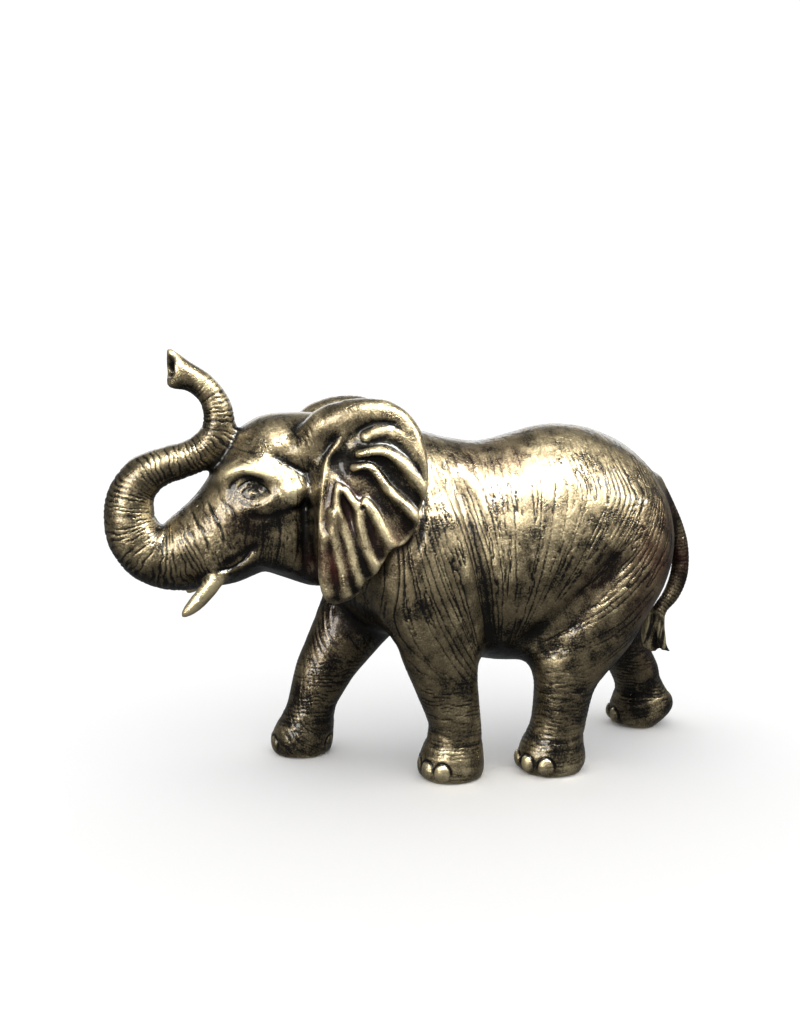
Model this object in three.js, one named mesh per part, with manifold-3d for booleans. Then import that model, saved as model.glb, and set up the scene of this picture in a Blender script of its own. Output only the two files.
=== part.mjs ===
// Cast bronze elephant striding to -X with its trunk thrown up and back: one casting, one solid.
// Millimetres, +Z up, soles on z = 0. The left flank faces -Y. The origin is the middle of the base.
//
// The form is a field: every mass (barrel, leg, head, trunk, ear fold) gives its distance from a point, the
// masses are blended where flesh runs together, and folds are pressed in where skin creases. One skin is
// drawn over the field, thinned to few faces, and the four soles are cut flat.
import * as THREE from "three";
import Module from "manifold-3d";

// ---- Driving dimensions ---------------------------------------------------------------------------------
const GRID_STEP = 2.6; // cell of the skin's grid
const SKIN_TRIANGLES = 9600; // faces kept after thinning
const SKIN_LOW = [-212, -78, -6]; // the grid's corners
const SKIN_HIGH = [240, 82, 304];
const SWEEP_SEGMENTS = 5; // straight pieces between two stations of a sweep
const LEFT = -1; // side of the body, as the sign of y
const RIGHT = 1;
const FOOT_TOE_HEIGHT = 8.5; // middle of a toenail above the sole
const NAIL = { along: 6.2, out: 4, up: 7.4 }; // radii of a toenail
const BLEND = { body: 13, limb: 15, head: 12, face: 8, trunk: 7, roll: 6, tusk: 1.5, tail: 4, nail: 1 };

// ---- Field tools ----------------------------------------------------------------------------------------

// Smooth minimum: two masses run together within k of each other.
function blend(a, b, k) {
  const h = Math.max(k - Math.abs(a - b), 0);
  return Math.min(a, b) - (h * h) / (4 * k);
}

// Smooth steps between rows of a table [key, value, value...]: gives the values at a key, held at both ends.
function table(rows) {
  const width = rows[0].length - 1;
  const keys = rows.map((row) => row[0]);
  const curve = new THREE.CubicInterpolant(keys, rows.flatMap((row) => row.slice(1)), width);
  return (key) => curve.evaluate(THREE.MathUtils.clamp(key, keys[0], keys[keys.length - 1]));
}

// Distance to an ellipse or ellipsoid whose radii are r, for an offset d from its centre.
function ellipseDistance(d, r) {
  let k0 = 0;
  let k1 = 0;
  for (let i = 0; i < d.length; i++) {
    const q = d[i] / r[i];
    k0 += q * q;
    k1 += (q / r[i]) * (q / r[i]);
  }
  k0 = Math.sqrt(k0);
  return k0 < 1e-6 ? -Math.min(...r) : (k0 * (k0 - 1)) / Math.sqrt(k1);
}

const mass = (k, low, high, distance) => ({ k, low, high, distance });

function ball(k, centre, radii) {
  const low = centre.map((c, i) => c - radii[i]);
  const high = centre.map((c, i) => c + radii[i]);
  const [cx, cy, cz] = centre;
  return mass(k, low, high, (x, y, z) => ellipseDistance([x - cx, y - cy, z - cz], radii));
}

// A limb, trunk or fold swept along a smooth line. A station is [x, y, z, radius in the side view, across].
function sweep(k, stations) {
  const middles = stations.map((s) => new THREE.Vector3(s[0], s[1], s[2]));
  const line = new THREE.CatmullRomCurve3(middles, false, "centripetal");
  const radii = table(stations.map((s, i) => [i, s[3], s[4] ?? s[3]]));
  const count = (stations.length - 1) * SWEEP_SEGMENTS;
  const knots = Array.from({ length: count + 1 }, (_, i) => {
    const at = line.getPoint(i / count);
    const [up, across] = radii((i / count) * (stations.length - 1));
    return [at.x, at.y, at.z, up, across];
  });
  const reach = Math.max(...knots.map((n) => Math.max(n[3], n[4])));
  const low = [0, 1, 2].map((i) => Math.min(...knots.map((n) => n[i])) - reach);
  const high = [0, 1, 2].map((i) => Math.max(...knots.map((n) => n[i])) + reach);
  return mass(k, low, high, (x, y, z) => {
    let best = Infinity;
    for (let i = 0; i < count; i++) {
      const [ax, ay, az, au, aw] = knots[i];
      const [bx, by, bz, bu, bw] = knots[i + 1];
      const [tx, ty, tz] = [bx - ax, by - ay, bz - az];
      const length = Math.hypot(tx, ty, tz);
      const along = ((x - ax) * tx + (y - ay) * ty + (z - az) * tz) / (length * length);
      const t = Math.min(1, Math.max(0, along));
      const [dx, dy, dz] = [x - ax - t * tx, y - ay - t * ty, z - az - t * tz];
      const flat = Math.hypot(tx, tz) || 1e-9;
      // Axes of the section: along the line, up in the side view, and the rest, which is across the body.
      const up = (dx * -tz + dz * tx) / flat;
      const beyond = (along - t) * length;
      const across = Math.sqrt(Math.max(0, dx * dx + dy * dy + dz * dz - up * up - beyond * beyond));
      const ru = au + t * (bu - au);
      const rw = aw + t * (bw - aw);
      best = Math.min(best, ellipseDistance([up, across, beyond], [ru, rw, Math.min(ru, rw)]));
    }
    return best;
  });
}

// A leg from level outlines. A row is [z, front x, back x, inner y, outer y], y being measured outwards.
function leg(k, side, rows) {
  const outline = table(rows.map(([z, front, back, inner, outer]) => [z, front, back, inner, outer]));
  const top = rows[rows.length - 1][0];
  const column = (i) => rows.map((row) => row[i]);
  const ys = [side * Math.min(...column(3)), side * Math.max(...column(4))];
  const low = [Math.min(...column(1)), Math.min(...ys), rows[0][0]];
  const high = [Math.max(...column(2)), Math.max(...ys), top];
  return mass(k, low, high, (x, y, z) => {
    const [front, back, inner, outer] = outline(z);
    const r = [(back - front) / 2, (outer - inner) / 2];
    const level = ellipseDistance([x - (front + back) / 2, side * y - (inner + outer) / 2], r) * 0.9;
    return z > top ? Math.hypot(Math.max(level, 0), z - top) : level;
  });
}

// A smooth line through points in the side view, as steps + 1 THREE.Vector2.
function smoothLine(points, steps) {
  return new THREE.SplineCurve(points.map((p) => new THREE.Vector2(...p))).getPoints(steps);
}

// A fold pressed into one flank along a line of [x, z] points, as deep and as wide as given.
function crease(side, depth, width, points) {
  const line = smoothLine(points, points.length * 6);
  return (x, y, z) => {
    if (y * side < 12) return 0;
    let near = Infinity;
    let share = 0;
    for (let i = 0; i + 1 < line.length; i++) {
      const [a, b] = [line[i], line[i + 1]];
      const [tx, tz] = [b.x - a.x, b.y - a.y];
      const t = THREE.MathUtils.clamp(((x - a.x) * tx + (z - a.y) * tz) / (tx * tx + tz * tz), 0, 1);
      const gap = Math.hypot(x - a.x - t * tx, z - a.y - t * tz);
      if (gap < near) [near, share] = [gap, (i + t) / (line.length - 1)];
    }
    const fade = Math.min(1, 5 * Math.min(share, 1 - share) + 0.15);
    return depth * fade * Math.exp(-((near / width) ** 2));
  };
}

const mirrored = (side, stations) => stations.map(([x, y, z, ...radii]) => [x, side * y, z, ...radii]);

// ---- Barrel, neck and legs ------------------------------------------------------------------------------

// Level rows along the back: [x, top z, bottom z, half width].
const BARREL = [
  [-46, 226, 121, 30],
  [-30, 236, 105, 39],
  [-12, 240, 95, 45],
  [8, 239, 89, 50],
  [34, 233, 81, 55],
  [57, 230.5, 74, 58.5],
  [80, 236, 71.5, 60.5],
  [102, 241.5, 75, 61],
  [125, 241.5, 83, 59.5],
  [148, 235.5, 94, 55],
  [171, 222.5, 107, 47],
  [186, 207.5, 120, 37],
  [195, 193, 132, 27],
  [200.5, 179, 143, 15],
];

function barrel() {
  const outline = table(BARREL);
  const [first, last] = [BARREL[0][0], BARREL[BARREL.length - 1][0]];
  const widest = Math.max(...BARREL.map((row) => row[3]));
  return mass(BLEND.body, [first, -widest, 74], [last, widest, 242], (x, y, z) => {
    const [top, bottom, half] = outline(x);
    const height = (top - bottom) / 2;
    const up = z - (top + bottom) / 2;
    // The back is narrower than the belly.
    const taper = 1 - 0.14 * THREE.MathUtils.clamp(up / height, -1, 1);
    const section = ellipseDistance([y, up], [half * taper, height]);
    const beyond = Math.max(first - x, x - last, 0);
    return beyond ? Math.hypot(Math.max(section, 0), beyond) : section * 0.92;
  });
}

const neck = () => sweep(BLEND.head, [
  [-8, 0, 184, 52, 42],
  [-34, 0, 188, 54, 40],
  [-58, 0, 193, 52, 37],
]);

const LEFT_FORELEG = [
  [-6, 10, 46, 21, 56],
  [0, 7, 50, 18, 59],
  [5, 5.5, 52, 16.5, 60.5],
  [12, 6, 52, 16.5, 60.5],
  [20, 8.5, 51, 17.5, 59.5],
  [28, 12, 50.5, 19.5, 57],
  [36, 13, 50, 20, 56.5],
  [46, 9.5, 49, 19, 57],
  [57, 5, 48, 18, 57.5],
  [69, 0, 47, 17, 58],
  [80, -5, 47.5, 16, 59],
  [92, -9, 48.5, 15, 60],
  [106, -17, 50, 14, 61],
  [130, -22, 50, 14, 61],
  [158, -24, 46, 16, 58],
  [184, -22, 36, 18, 50],
];

const RIGHT_FORELEG = [
  [-6, -84, -52, 14, 46],
  [0, -88, -48, 11, 49],
  [5, -90.5, -45.5, 9.5, 51],
  [13, -90.5, -44.5, 9.5, 51],
  [23, -86, -44, 10.5, 49.5],
  [33, -80, -43, 12, 48],
  [45, -76.5, -36, 12, 48.5],
  [57, -74, -28, 12, 49.5],
  [68, -71, -17.5, 12, 51],
  [80, -65.5, -6, 12, 53],
  [100, -57, 14, 12, 56],
  [130, -46, 30, 13, 58],
  [158, -36, 34, 16, 56],
  [184, -28, 30, 18, 49],
];

const LEFT_HINDLEG = [
  [-6, 84, 118, 23, 57],
  [0, 80, 122, 20, 60],
  [4, 78, 124.5, 18.5, 61.5],
  [11, 77.5, 126, 18, 62],
  [21, 80, 124, 19, 60],
  [31, 85.5, 125, 20.5, 58.5],
  [41, 87.5, 127, 20, 59],
  [53, 88.5, 129.5, 19, 60],
  [62, 88.5, 134, 18, 60],
  [72, 87, 143.5, 16, 60.5],
  [86, 86, 157, 14, 61.5],
  [104, 88, 168, 12, 62],
  [130, 96, 183, 12, 60],
  [160, 108, 187, 14, 54],
  [188, 122, 182, 16, 44],
];

const RIGHT_HINDLEG = [
  [-6, 188, 210, 30, 61],
  [0, 185, 215, 27, 64],
  [6, 180.5, 225, 25, 66],
  [14, 180, 231, 24, 67],
  [22, 182.5, 230, 25, 66.5],
  [30, 184.5, 223.5, 27, 65],
  [38, 181.5, 219.5, 27, 65.5],
  [48, 175.5, 217.5, 26, 66],
  [60, 165, 211, 24, 67],
  [80, 146, 203, 20, 66],
  [104, 130, 198, 15, 64],
  [130, 118, 194, 12, 60],
  [160, 114, 190, 13, 54],
  [188, 124, 182, 16, 44],
];

// Toenails round the front of a foot: its side, its middle, its radii and each nail's bearing.
function toenails(side, middle, radii, bearings) {
  return bearings.map((degrees) => {
    const bearing = THREE.MathUtils.degToRad(degrees);
    const x = middle[0] - radii[0] * Math.cos(bearing);
    const y = side * (middle[1] + radii[1] * Math.sin(bearing));
    const across = Math.abs(Math.sin(bearing));
    const rx = NAIL.out + (NAIL.along - NAIL.out) * across;
    const ry = NAIL.along + (NAIL.out - NAIL.along) * across;
    return ball(BLEND.nail, [x, y, FOOT_TOE_HEIGHT], [rx, ry, NAIL.up]);
  });
}

// ---- Head, trunk and tusks ------------------------------------------------------------------------------

const FACE = [[-84, 0, 214, 33, 33], [-100, 0, 196, 33, 33], [-113, 0, 178, 33, 31], [-126, 0, 163, 30, 27]];
const JAW = [[-112, 0, 148, 6.5, 10], [-97, 0, 158.5, 16, 20], [-78, 0, 164, 27, 28], [-54, 0, 168, 40, 36]];
const BROW = [
  [-122, 20, 209, 5, 5],
  [-112, 26, 214.5, 5.5, 5],
  [-100, 29.5, 214.5, 5.5, 5],
  [-90, 31.5, 208, 5, 5],
];
const CHEEKBONE = [
  [-108, 28, 188, 5, 5],
  [-93, 33, 193, 7, 6],
  [-79, 34.5, 197, 8.5, 7],
  [-66, 34, 200, 9, 7],
];
const UPPER_LIP = [[-106, 19, 162, 12, 8], [-120, 20, 155, 9, 7.5], [-129, 20.5, 149.5, 7, 6.8]];

function head() {
  const skull = [
    ball(BLEND.head, [-70, 0, 208], [46, 35, 43.5]),
    ball(BLEND.head, [-94, 0, 222], [22, 25, 25]),
    sweep(BLEND.face, FACE),
    sweep(BLEND.face, JAW),
    sweep(2, [[-117.5, 0, 142.5, 2.4, 6], [-110, 0, 147.5, 6, 11]]),
  ];
  const sided = [LEFT, RIGHT].flatMap((side) => [
    sweep(9, mirrored(side, BROW)),
    sweep(7, mirrored(side, CHEEKBONE)),
    ball(10, [-84, side * 21, 172], [24, 13, 26]),
    sweep(6, mirrored(side, UPPER_LIP)),
  ]);
  return [...skull, ...sided];
}

// The trunk's middle line, with its radius in the side view and its radius across.
const TRUNK = [
  [-120, 0, 168, 31, 29],
  [-137, 0, 161, 29, 25.5],
  [-153, 0, 154.2, 24.6, 22],
  [-169.6, 0, 155.4, 20.9, 19.5],
  [-180.8, 0, 165, 18.8, 18],
  [-186, 0, 181, 17, 16.8],
  [-183.6, 0, 197.5, 15.6, 15.6],
  [-175, 0, 209.4, 14.3, 14.6],
  [-162, 0, 215.8, 12.9, 13.4],
  [-147, 0, 220, 12, 12.6],
  [-135, 0, 226.3, 12.1, 12],
  [-126.4, 0, 236, 11.6, 11.4],
  [-124.6, 0, 248.9, 10.3, 10.6],
  [-127.5, 0, 260, 9.6, 10],
  [-135, 0, 269.8, 9.1, 9.4],
  [-144, 0, 275.2, 9.2, 9],
  [-150, 0, 278, 9.4, 8.6],
];

const trunk = () => [
  sweep(BLEND.trunk, TRUNK),
  ball(3, [-152.4, 0.6, 280.5], [6.9, 8.8, 10.6]),
  sweep(3, [[-149, 0.5, 279, 7.5, 8], [-153.6, 0.5, 286, 5, 6], [-156.2, 0.5, 292.7, 2.4, 3]]),
  sweep(2, [[-147, -0.5, 273.5, 6.4, 7.6], [-153, -1.5, 271, 4.4, 6], [-156, -2, 270.6, 3, 4]]),
];

// Tusk stations out from the lip. The right tusk is cast a little steeper than the left.
const LEFT_TUSK = [
  [-118, 19, 152], [-127, 21.5, 144.5], [-132, 23, 138.5], [-137.5, 24.5, 131.8], [-142.8, 25.5, 126.2],
  [-148, 26, 121.4], [-152.2, 26, 117.6],
];
const RIGHT_TUSK = [
  [-118, 19, 152], [-127, 21.5, 145], [-132, 23.5, 140], [-137, 25.5, 134.5], [-141.6, 27, 130],
  [-145.6, 28, 126.2], [-148.8, 28.5, 123],
];
const TUSK_RADII = [6, 6.2, 6.2, 6, 5.5, 4.2, 1.9];
const tusk = (side, line) => sweep(BLEND.tusk, line.map(([x, y, z], i) => [x, side * y, z, TUSK_RADII[i]]));

// ---- Ears -----------------------------------------------------------------------------------------------

// The thick roll of skin that leaves the skull and turns over the top of the ear.
const EAR_ROLL = [
  [-66, 24, 226, 13, 12],
  [-57, 31, 240, 14.5, 13],
  [-44, 38, 247.5, 13, 12.5],
  [-31, 43, 251.5, 10.5, 11],
  [-18.5, 48, 251.5, 9, 9],
  [-8, 52.5, 245, 8, 7.5],
  [-1, 56, 233.5, 6.6, 6.5],
  [2.5, 58.5, 221, 5, 5],
];

// The scalloped rim of the ear's fan, closed under the roll: [x, z].
const EAR_RIM = [
  [6, 222], [7, 211], [5.5, 200], [1.5, 190], [0.5, 181], [-3.5, 172], [-10, 165.5], [-17.5, 164],
  [-20, 157], [-24.5, 151], [-28, 145], [-34, 141], [-36.5, 134], [-44, 128.5], [-53, 126], [-60, 129],
  [-64, 141], [-65, 157], [-64.5, 180], [-63, 200], [-58, 222], [-46, 240], [-30, 250], [-14, 249], [-2, 238],
];

// Ribs of the ear's fan, from the ear hole out to the rim: height and half width at the rim, then [x, z]
// points.
const EAR_RIBS = [
  { height: 3, width: 5, line: [[-33, 237], [-20, 241], [-7, 234], [3, 221], [7, 209]] },
  { height: 5.5, width: 6, line: [[-38, 226], [-24, 228], [-13, 222], [-3, 210], [6, 198]] },
  { height: 5.5, width: 5, line: [[-41, 217], [-32, 218], [-26, 212], [-20, 203], [-10, 193], [0, 183]] },
  { height: 5, width: 5.5, line: [[-34, 195], [-28, 186], [-23, 175], [-18, 165]] },
  { height: 5, width: 4.4, line: [[-47, 203], [-41, 194], [-38, 188], [-37, 177], [-33, 162], [-27, 150]] },
  { height: 4.5, width: 4, line: [[-51, 205], [-52, 193], [-49, 181], [-45, 169], [-42, 156], [-38, 141]] },
  { height: 4, width: 4, line: [[-55, 188], [-54, 172], [-50, 154], [-46, 134]] },
  { height: 2.5, width: 6, line: [[-61, 172], [-60, 157], [-58, 134]] },
];
const EAR_HUB = { x: -46, z: 214, near: 8, far: 46 }; // the ribs are half as wide near it
const EAR_HALF = 2.7; // half thickness of the fan
const EAR_HOLLOW = { x: -51, z: 220, depth: 6, radius: 9 }; // the ear hole, under the roll

// Distance in the side view from (x, z) to a line of THREE.Vector2, negative inside a closed one.
function lineGap(line, x, z) {
  let near = Infinity;
  let inside = false;
  for (let i = 0; i + 1 < line.length; i++) {
    const [a, b] = [line[i], line[i + 1]];
    const [tx, tz] = [b.x - a.x, b.y - a.y];
    const t = THREE.MathUtils.clamp(((x - a.x) * tx + (z - a.y) * tz) / (tx * tx + tz * tz), 0, 1);
    near = Math.min(near, Math.hypot(x - a.x - t * tx, z - a.y - t * tz));
    if (a.y > z !== b.y > z && x < a.x + ((z - a.y) * tx) / tz) inside = !inside;
  }
  return inside ? -near : near;
}

const earRim = smoothLine([...EAR_RIM, EAR_RIM[0]], 70);
const earRibs = EAR_RIBS.map((rib) => ({ ...rib, line: smoothLine(rib.line, 12) }));

// How far the ear's skin stands out from the middle: it swings out to the back, tucks in under the roll, and
// the ribs stand out of it.
function earReach(x, z) {
  let reach = 45.5 + 14 * THREE.MathUtils.smoothstep(x, -70, 4) - 0.22 * Math.max(0, z - 224);
  const outward = THREE.MathUtils.smoothstep(Math.hypot(x - EAR_HUB.x, z - EAR_HUB.z), EAR_HUB.near, EAR_HUB.far);
  for (const { height, width, line } of earRibs) {
    const gap = Math.abs(lineGap(line, x, z)) / (width * (0.5 + 0.5 * outward));
    if (gap < 3) reach += height * Math.exp(-(gap ** 2));
  }
  const fromHollow = ((x - EAR_HOLLOW.x) ** 2 + (z - EAR_HOLLOW.z) ** 2) / EAR_HOLLOW.radius ** 2;
  return reach - EAR_HOLLOW.depth * Math.exp(-fromHollow);
}

function earFan(side) {
  const low = [-68, side < 0 ? -70 : 36, 122];
  const high = [10, side < 0 ? -36 : 70, 254];
  return mass(3, low, high, (x, y, z) => {
    const edge = lineGap(earRim, x, z);
    if (edge > 12) return edge;
    const deep = (Math.abs(side * y - earReach(x, z)) - EAR_HALF) * 0.8;
    return -blend(-edge, -deep, 2);
  });
}

const EAR_ROOT = [[-52, 30, 226, 14, 12], [-54, 33, 196, 13, 12], [-57, 36, 166, 9, 9], [-58, 40, 142, 5, 5]];

function ear(side) {
  const root = sweep(8, mirrored(side, EAR_ROOT));
  return [root, sweep(BLEND.roll, mirrored(side, EAR_ROLL)), earFan(side)];
}

// ---- Tail -----------------------------------------------------------------------------------------------

const tail = () => [
  sweep(BLEND.tail, [
    [188, 0, 196, 10, 10],
    [201, 0, 177, 7.5, 8],
    [209.5, 0, 160, 6.8, 6.8],
    [213.2, -0.5, 143, 6.6, 6.4],
    [212.2, -1, 128, 6.8, 6.2],
    [206.5, -2, 114.5, 6.4, 6],
    [197.6, -3, 104, 5.4, 5.4],
    [192, -3.5, 95, 5.4, 5.4],
  ]),
  sweep(1.5, [
    [196, -6, 100, 3.6, 3.6],
    [195, -7.5, 88, 4.4, 4],
    [197, -8, 77.5, 3.8, 3.4],
    [202.6, -8, 72, 2.2, 2.2],
  ]),
  sweep(2, [
    [190, -2, 98, 5, 5],
    [187.6, -2.5, 86, 5.6, 5],
    [188.6, -3, 76, 4.6, 4.4],
    [193, -4, 72, 2.4, 2.4],
  ]),
];

// ---- Folds and hollows ----------------------------------------------------------------------------------

const MOUTH = [[-128, 150], [-120, 152.8], [-113.5, 157.3], [-106.8, 161.8], [-101.5, 163.7]];
const CREASES = [
  crease(LEFT, 4, 7, [[34, 208], [38, 180], [45, 150], [51, 120], [53, 92]]), // behind the near foreleg
  crease(LEFT, 4, 8, [[152, 158], [130, 134], [109, 108], [90, 84]]), // between flank and thigh
  crease(LEFT, 2, 6, [[120, 140], [98, 112], [80, 92]]),
  crease(RIGHT, 4, 7, [[28, 205], [30, 175], [30, 145], [26, 110], [10, 92]]),
  crease(RIGHT, 4, 8, [[150, 165], [134, 140], [124, 112], [132, 92]]),
  crease(LEFT, 6, 4.5, [[-66, 212], [-70, 195], [-71, 170], [-70, 145]]), // between cheek and ear
  crease(RIGHT, 6, 4.5, [[-66, 212], [-70, 195], [-71, 170], [-70, 145]]),
  crease(LEFT, 3, 5, [[-92, 227], [-83, 220], [-76, 215.5], [-66, 211]]), // temple
  crease(RIGHT, 3, 5, [[-92, 227], [-83, 220], [-76, 215.5], [-66, 211]]),
  crease(LEFT, 3.5, 3, MOUTH),
  crease(RIGHT, 3.5, 3, MOUTH),
];

// Eye sockets and the open end of the trunk.
const HOLLOWS = [
  ball(4, [-106, -37, 202], [10.5, 5.8, 6]),
  ball(4, [-106, 37, 202], [10.5, 5.8, 6]),
  sweep(1.5, [[-159.5, -4.5, 285.5, 6, 5.8], [-158.8, -4.5, 279.5, 5.4, 5.6]]),
  sweep(1.5, [[-158, -2, 281, 5, 5], [-149, 0, 278.5, 3, 3]]),
];

// ---- The skin -------------------------------------------------------------------------------------------

const FORMS = [
  barrel(),
  neck(),
  leg(BLEND.limb, LEFT, LEFT_FORELEG),
  leg(BLEND.limb, RIGHT, RIGHT_FORELEG),
  leg(BLEND.limb, LEFT, LEFT_HINDLEG),
  leg(BLEND.limb, RIGHT, RIGHT_HINDLEG),
  ...head(),
  ...trunk(),
  tusk(LEFT, LEFT_TUSK),
  tusk(RIGHT, RIGHT_TUSK),
  ...[LEFT, RIGHT].flatMap(ear),
  ...tail(),
  ...toenails(LEFT, [29, 38.5], [19.8, 19.5], [-70, -37, -4, 28, 60]),
  ...toenails(RIGHT, [-68, 30], [19, 18.5], [-14, 20, 54, 88]),
  ...toenails(LEFT, [101, 40], [22, 19.5], [-48, -10, 28, 65]),
  ...toenails(RIGHT, [200, 45.5], [18, 18], [-12, 28, 68]),
];

const EYEBALLS = [ball(1, [-105, -30, 198.8], [4.8, 4.2, 3.8]), ball(1, [-105, 30, 198.8], [4.8, 4.2, 3.8])];

function boxGap(m, x, y, z) {
  const dx = Math.max(m.low[0] - x, x - m.high[0], 0);
  const dy = Math.max(m.low[1] - y, y - m.high[1], 0);
  const dz = Math.max(m.low[2] - z, z - m.high[2], 0);
  return Math.hypot(dx, dy, dz);
}

function field(x, y, z) {
  let d = 60;
  for (const m of FORMS) {
    if (boxGap(m, x, y, z) > Math.max(d, -8) + m.k) continue;
    d = blend(d, m.distance(x, y, z), m.k);
  }
  if (d < 15 && d > -15) for (const pressed of CREASES) d += pressed(x, y, z);
  for (const m of HOLLOWS) {
    if (boxGap(m, x, y, z) < 8) d = -blend(-d, m.distance(x, y, z), m.k);
  }
  for (const m of EYEBALLS) {
    if (boxGap(m, x, y, z) < 8) d = blend(d, m.distance(x, y, z), m.k);
  }
  return d;
}

// Samples the field over the grid. A block of cells far from the surface takes the value at its middle.
function sampleGrid(size) {
  const [nx, ny, nz] = size;
  const values = new Float32Array(nx * ny * nz);
  const block = 4;
  const margin = 0.87 * block * GRID_STEP + 7;
  const at = (i, axis) => SKIN_LOW[axis] + i * GRID_STEP;
  for (let k0 = 0; k0 < nz; k0 += block) {
    for (let j0 = 0; j0 < ny; j0 += block) {
      for (let i0 = 0; i0 < nx; i0 += block) {
        const middle = field(at(i0 + block / 2, 0), at(j0 + block / 2, 1), at(k0 + block / 2, 2));
        for (let k = k0; k < Math.min(k0 + block, nz); k++) {
          for (let j = j0; j < Math.min(j0 + block, ny); j++) {
            for (let i = i0; i < Math.min(i0 + block, nx); i++) {
              const far = Math.abs(middle) > margin;
              values[i + nx * (j + ny * k)] = far ? middle : field(at(i, 0), at(j, 1), at(k, 2));
            }
          }
        }
      }
    }
  }
  // The legs run on below the ground and are cut later, so the skin is closed at the grid's floor.
  values.fill(1, 0, nx * ny);
  return values;
}

const EDGES = [];
for (let a = 0; a < 8; a++) {
  for (const bit of [1, 2, 4]) if (!(a & bit)) EDGES.push([a, a | bit]);
}
const CELL_SIDES = [[0, 1, 3, 2], [4, 5, 7, 6], [0, 1, 5, 4], [2, 3, 7, 6], [0, 2, 6, 4], [1, 3, 7, 5]];

// Fills the cells where two sheets of skin would touch at one vertex, so that the skin stays clean.
function closePinches(values, size) {
  const [nx, ny, nz] = size;
  const corners = Array.from({ length: 8 }, (_, c) => (c & 1) + nx * (((c >> 1) & 1) + ny * (c >> 2)));
  let filled = true;
  while (filled) {
    filled = false;
    for (let k = 0; k + 1 < nz; k++) {
      for (let j = 0; j + 1 < ny; j++) {
        for (let i = 0; i + 1 < nx; i++) {
          const first = i + nx * (j + ny * k);
          const ids = corners.map((c) => first + c);
          const inside = ids.map((id) => values[id] < 0);
          const count = inside.filter(Boolean).length;
          if (count === 0 || count === 8) continue;
          const twisted = CELL_SIDES.some(([a, b, c, d]) => inside[a] === inside[c] && inside[b] === inside[d]
            && inside[a] !== inside[b]);
          const opposite = [0, 1, 2, 3].some((c) => inside[c] === inside[7 - c]
            && (count === 2) === inside[c] && (count === 2 || count === 6));
          if (!twisted && !opposite) continue;
          const outside = ids.filter((id, c) => !inside[c]);
          const nearest = outside.reduce((a, b) => (values[b] < values[a] ? b : a));
          values[nearest] = -0.05;
          filled = true;
        }
      }
    }
  }
}

// Draws the skin where the field is zero: one vertex in each cell that the surface crosses, joined by quads.
function drawSkin() {
  const size = SKIN_LOW.map((low, i) => Math.ceil((SKIN_HIGH[i] - low) / GRID_STEP) + 1);
  const values = sampleGrid(size);
  closePinches(values, size);
  const [nx, ny, nz] = size;
  const index = (i, j, k) => i + nx * (j + ny * k);
  const positions = [];
  const vertexOf = new Int32Array(values.length).fill(-1);
  const corner = (c) => [c & 1, (c >> 1) & 1, c >> 2];
  for (let k = 0; k + 1 < nz; k++) {
    for (let j = 0; j + 1 < ny; j++) {
      for (let i = 0; i + 1 < nx; i++) {
        const sum = [0, 0, 0];
        let crossings = 0;
        const v = (c) => values[index(i + (c & 1), j + ((c >> 1) & 1), k + (c >> 2))];
        for (const [a, b] of EDGES) {
          const [va, vb] = [v(a), v(b)];
          if (va < 0 === vb < 0) continue;
          const t = va / (va - vb);
          const [ca, cb] = [corner(a), corner(b)];
          for (let n = 0; n < 3; n++) sum[n] += ca[n] + t * (cb[n] - ca[n]);
          crossings++;
        }
        if (!crossings) continue;
        vertexOf[index(i, j, k)] = positions.length / 3;
        const base = [i, j, k];
        positions.push(...sum.map((s, n) => SKIN_LOW[n] + (base[n] + s / crossings) * GRID_STEP));
      }
    }
  }

  const faces = [];
  const quad = (a, b, c, d, flip) => {
    const shorter = distance2(positions, a, c) <= distance2(positions, b, d);
    const pair = shorter ? [[a, b, c], [a, c, d]] : [[a, b, d], [b, c, d]];
    for (const [p, q, r] of pair) faces.push(...(flip ? [p, r, q] : [p, q, r]));
  };
  const steps = [[1, 0, 0], [0, 1, 0], [0, 0, 1]];
  for (let k = 0; k + 1 < nz; k++) {
    for (let j = 0; j + 1 < ny; j++) {
      for (let i = 0; i + 1 < nx; i++) {
        const here = values[index(i, j, k)] < 0;
        for (let axis = 0; axis < 3; axis++) {
          const s = steps[axis];
          if (here === values[index(i + s[0], j + s[1], k + s[2])] < 0) continue;
          const [u, w] = [steps[(axis + 1) % 3], steps[(axis + 2) % 3]];
          const [di, dj, dk] = [0, 1, 2].map((n) => (a, b) => a * u[n] + b * w[n]);
          const cell = (a, b) => vertexOf[index(i - di(a, b), j - dj(a, b), k - dk(a, b))];
          quad(cell(0, 0), cell(1, 0), cell(1, 1), cell(0, 1), !here);
        }
      }
    }
  }
  return { positions, faces };
}

function distance2(p, a, b) {
  return (p[3 * a] - p[3 * b]) ** 2 + (p[3 * a + 1] - p[3 * b + 1]) ** 2 + (p[3 * a + 2] - p[3 * b + 2]) ** 2;
}

// Moves every vertex onto the field's zero surface.
function settle({ positions }) {
  const h = 0.3;
  for (let i = 0; i < positions.length; i += 3) {
    const [x, y, z] = positions.slice(i, i + 3);
    const d = field(x, y, z);
    const g = [(field(x + h, y, z) - d) / h, (field(x, y + h, z) - d) / h, (field(x, y, z + h) - d) / h];
    const slope = Math.max(g[0] ** 2 + g[1] ** 2 + g[2] ** 2, 0.2);
    const move = THREE.MathUtils.clamp(d / slope, -0.4 * GRID_STEP, 0.4 * GRID_STEP);
    for (let n = 0; n < 3; n++) positions[i + n] -= move * g[n];
  }
}

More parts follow.
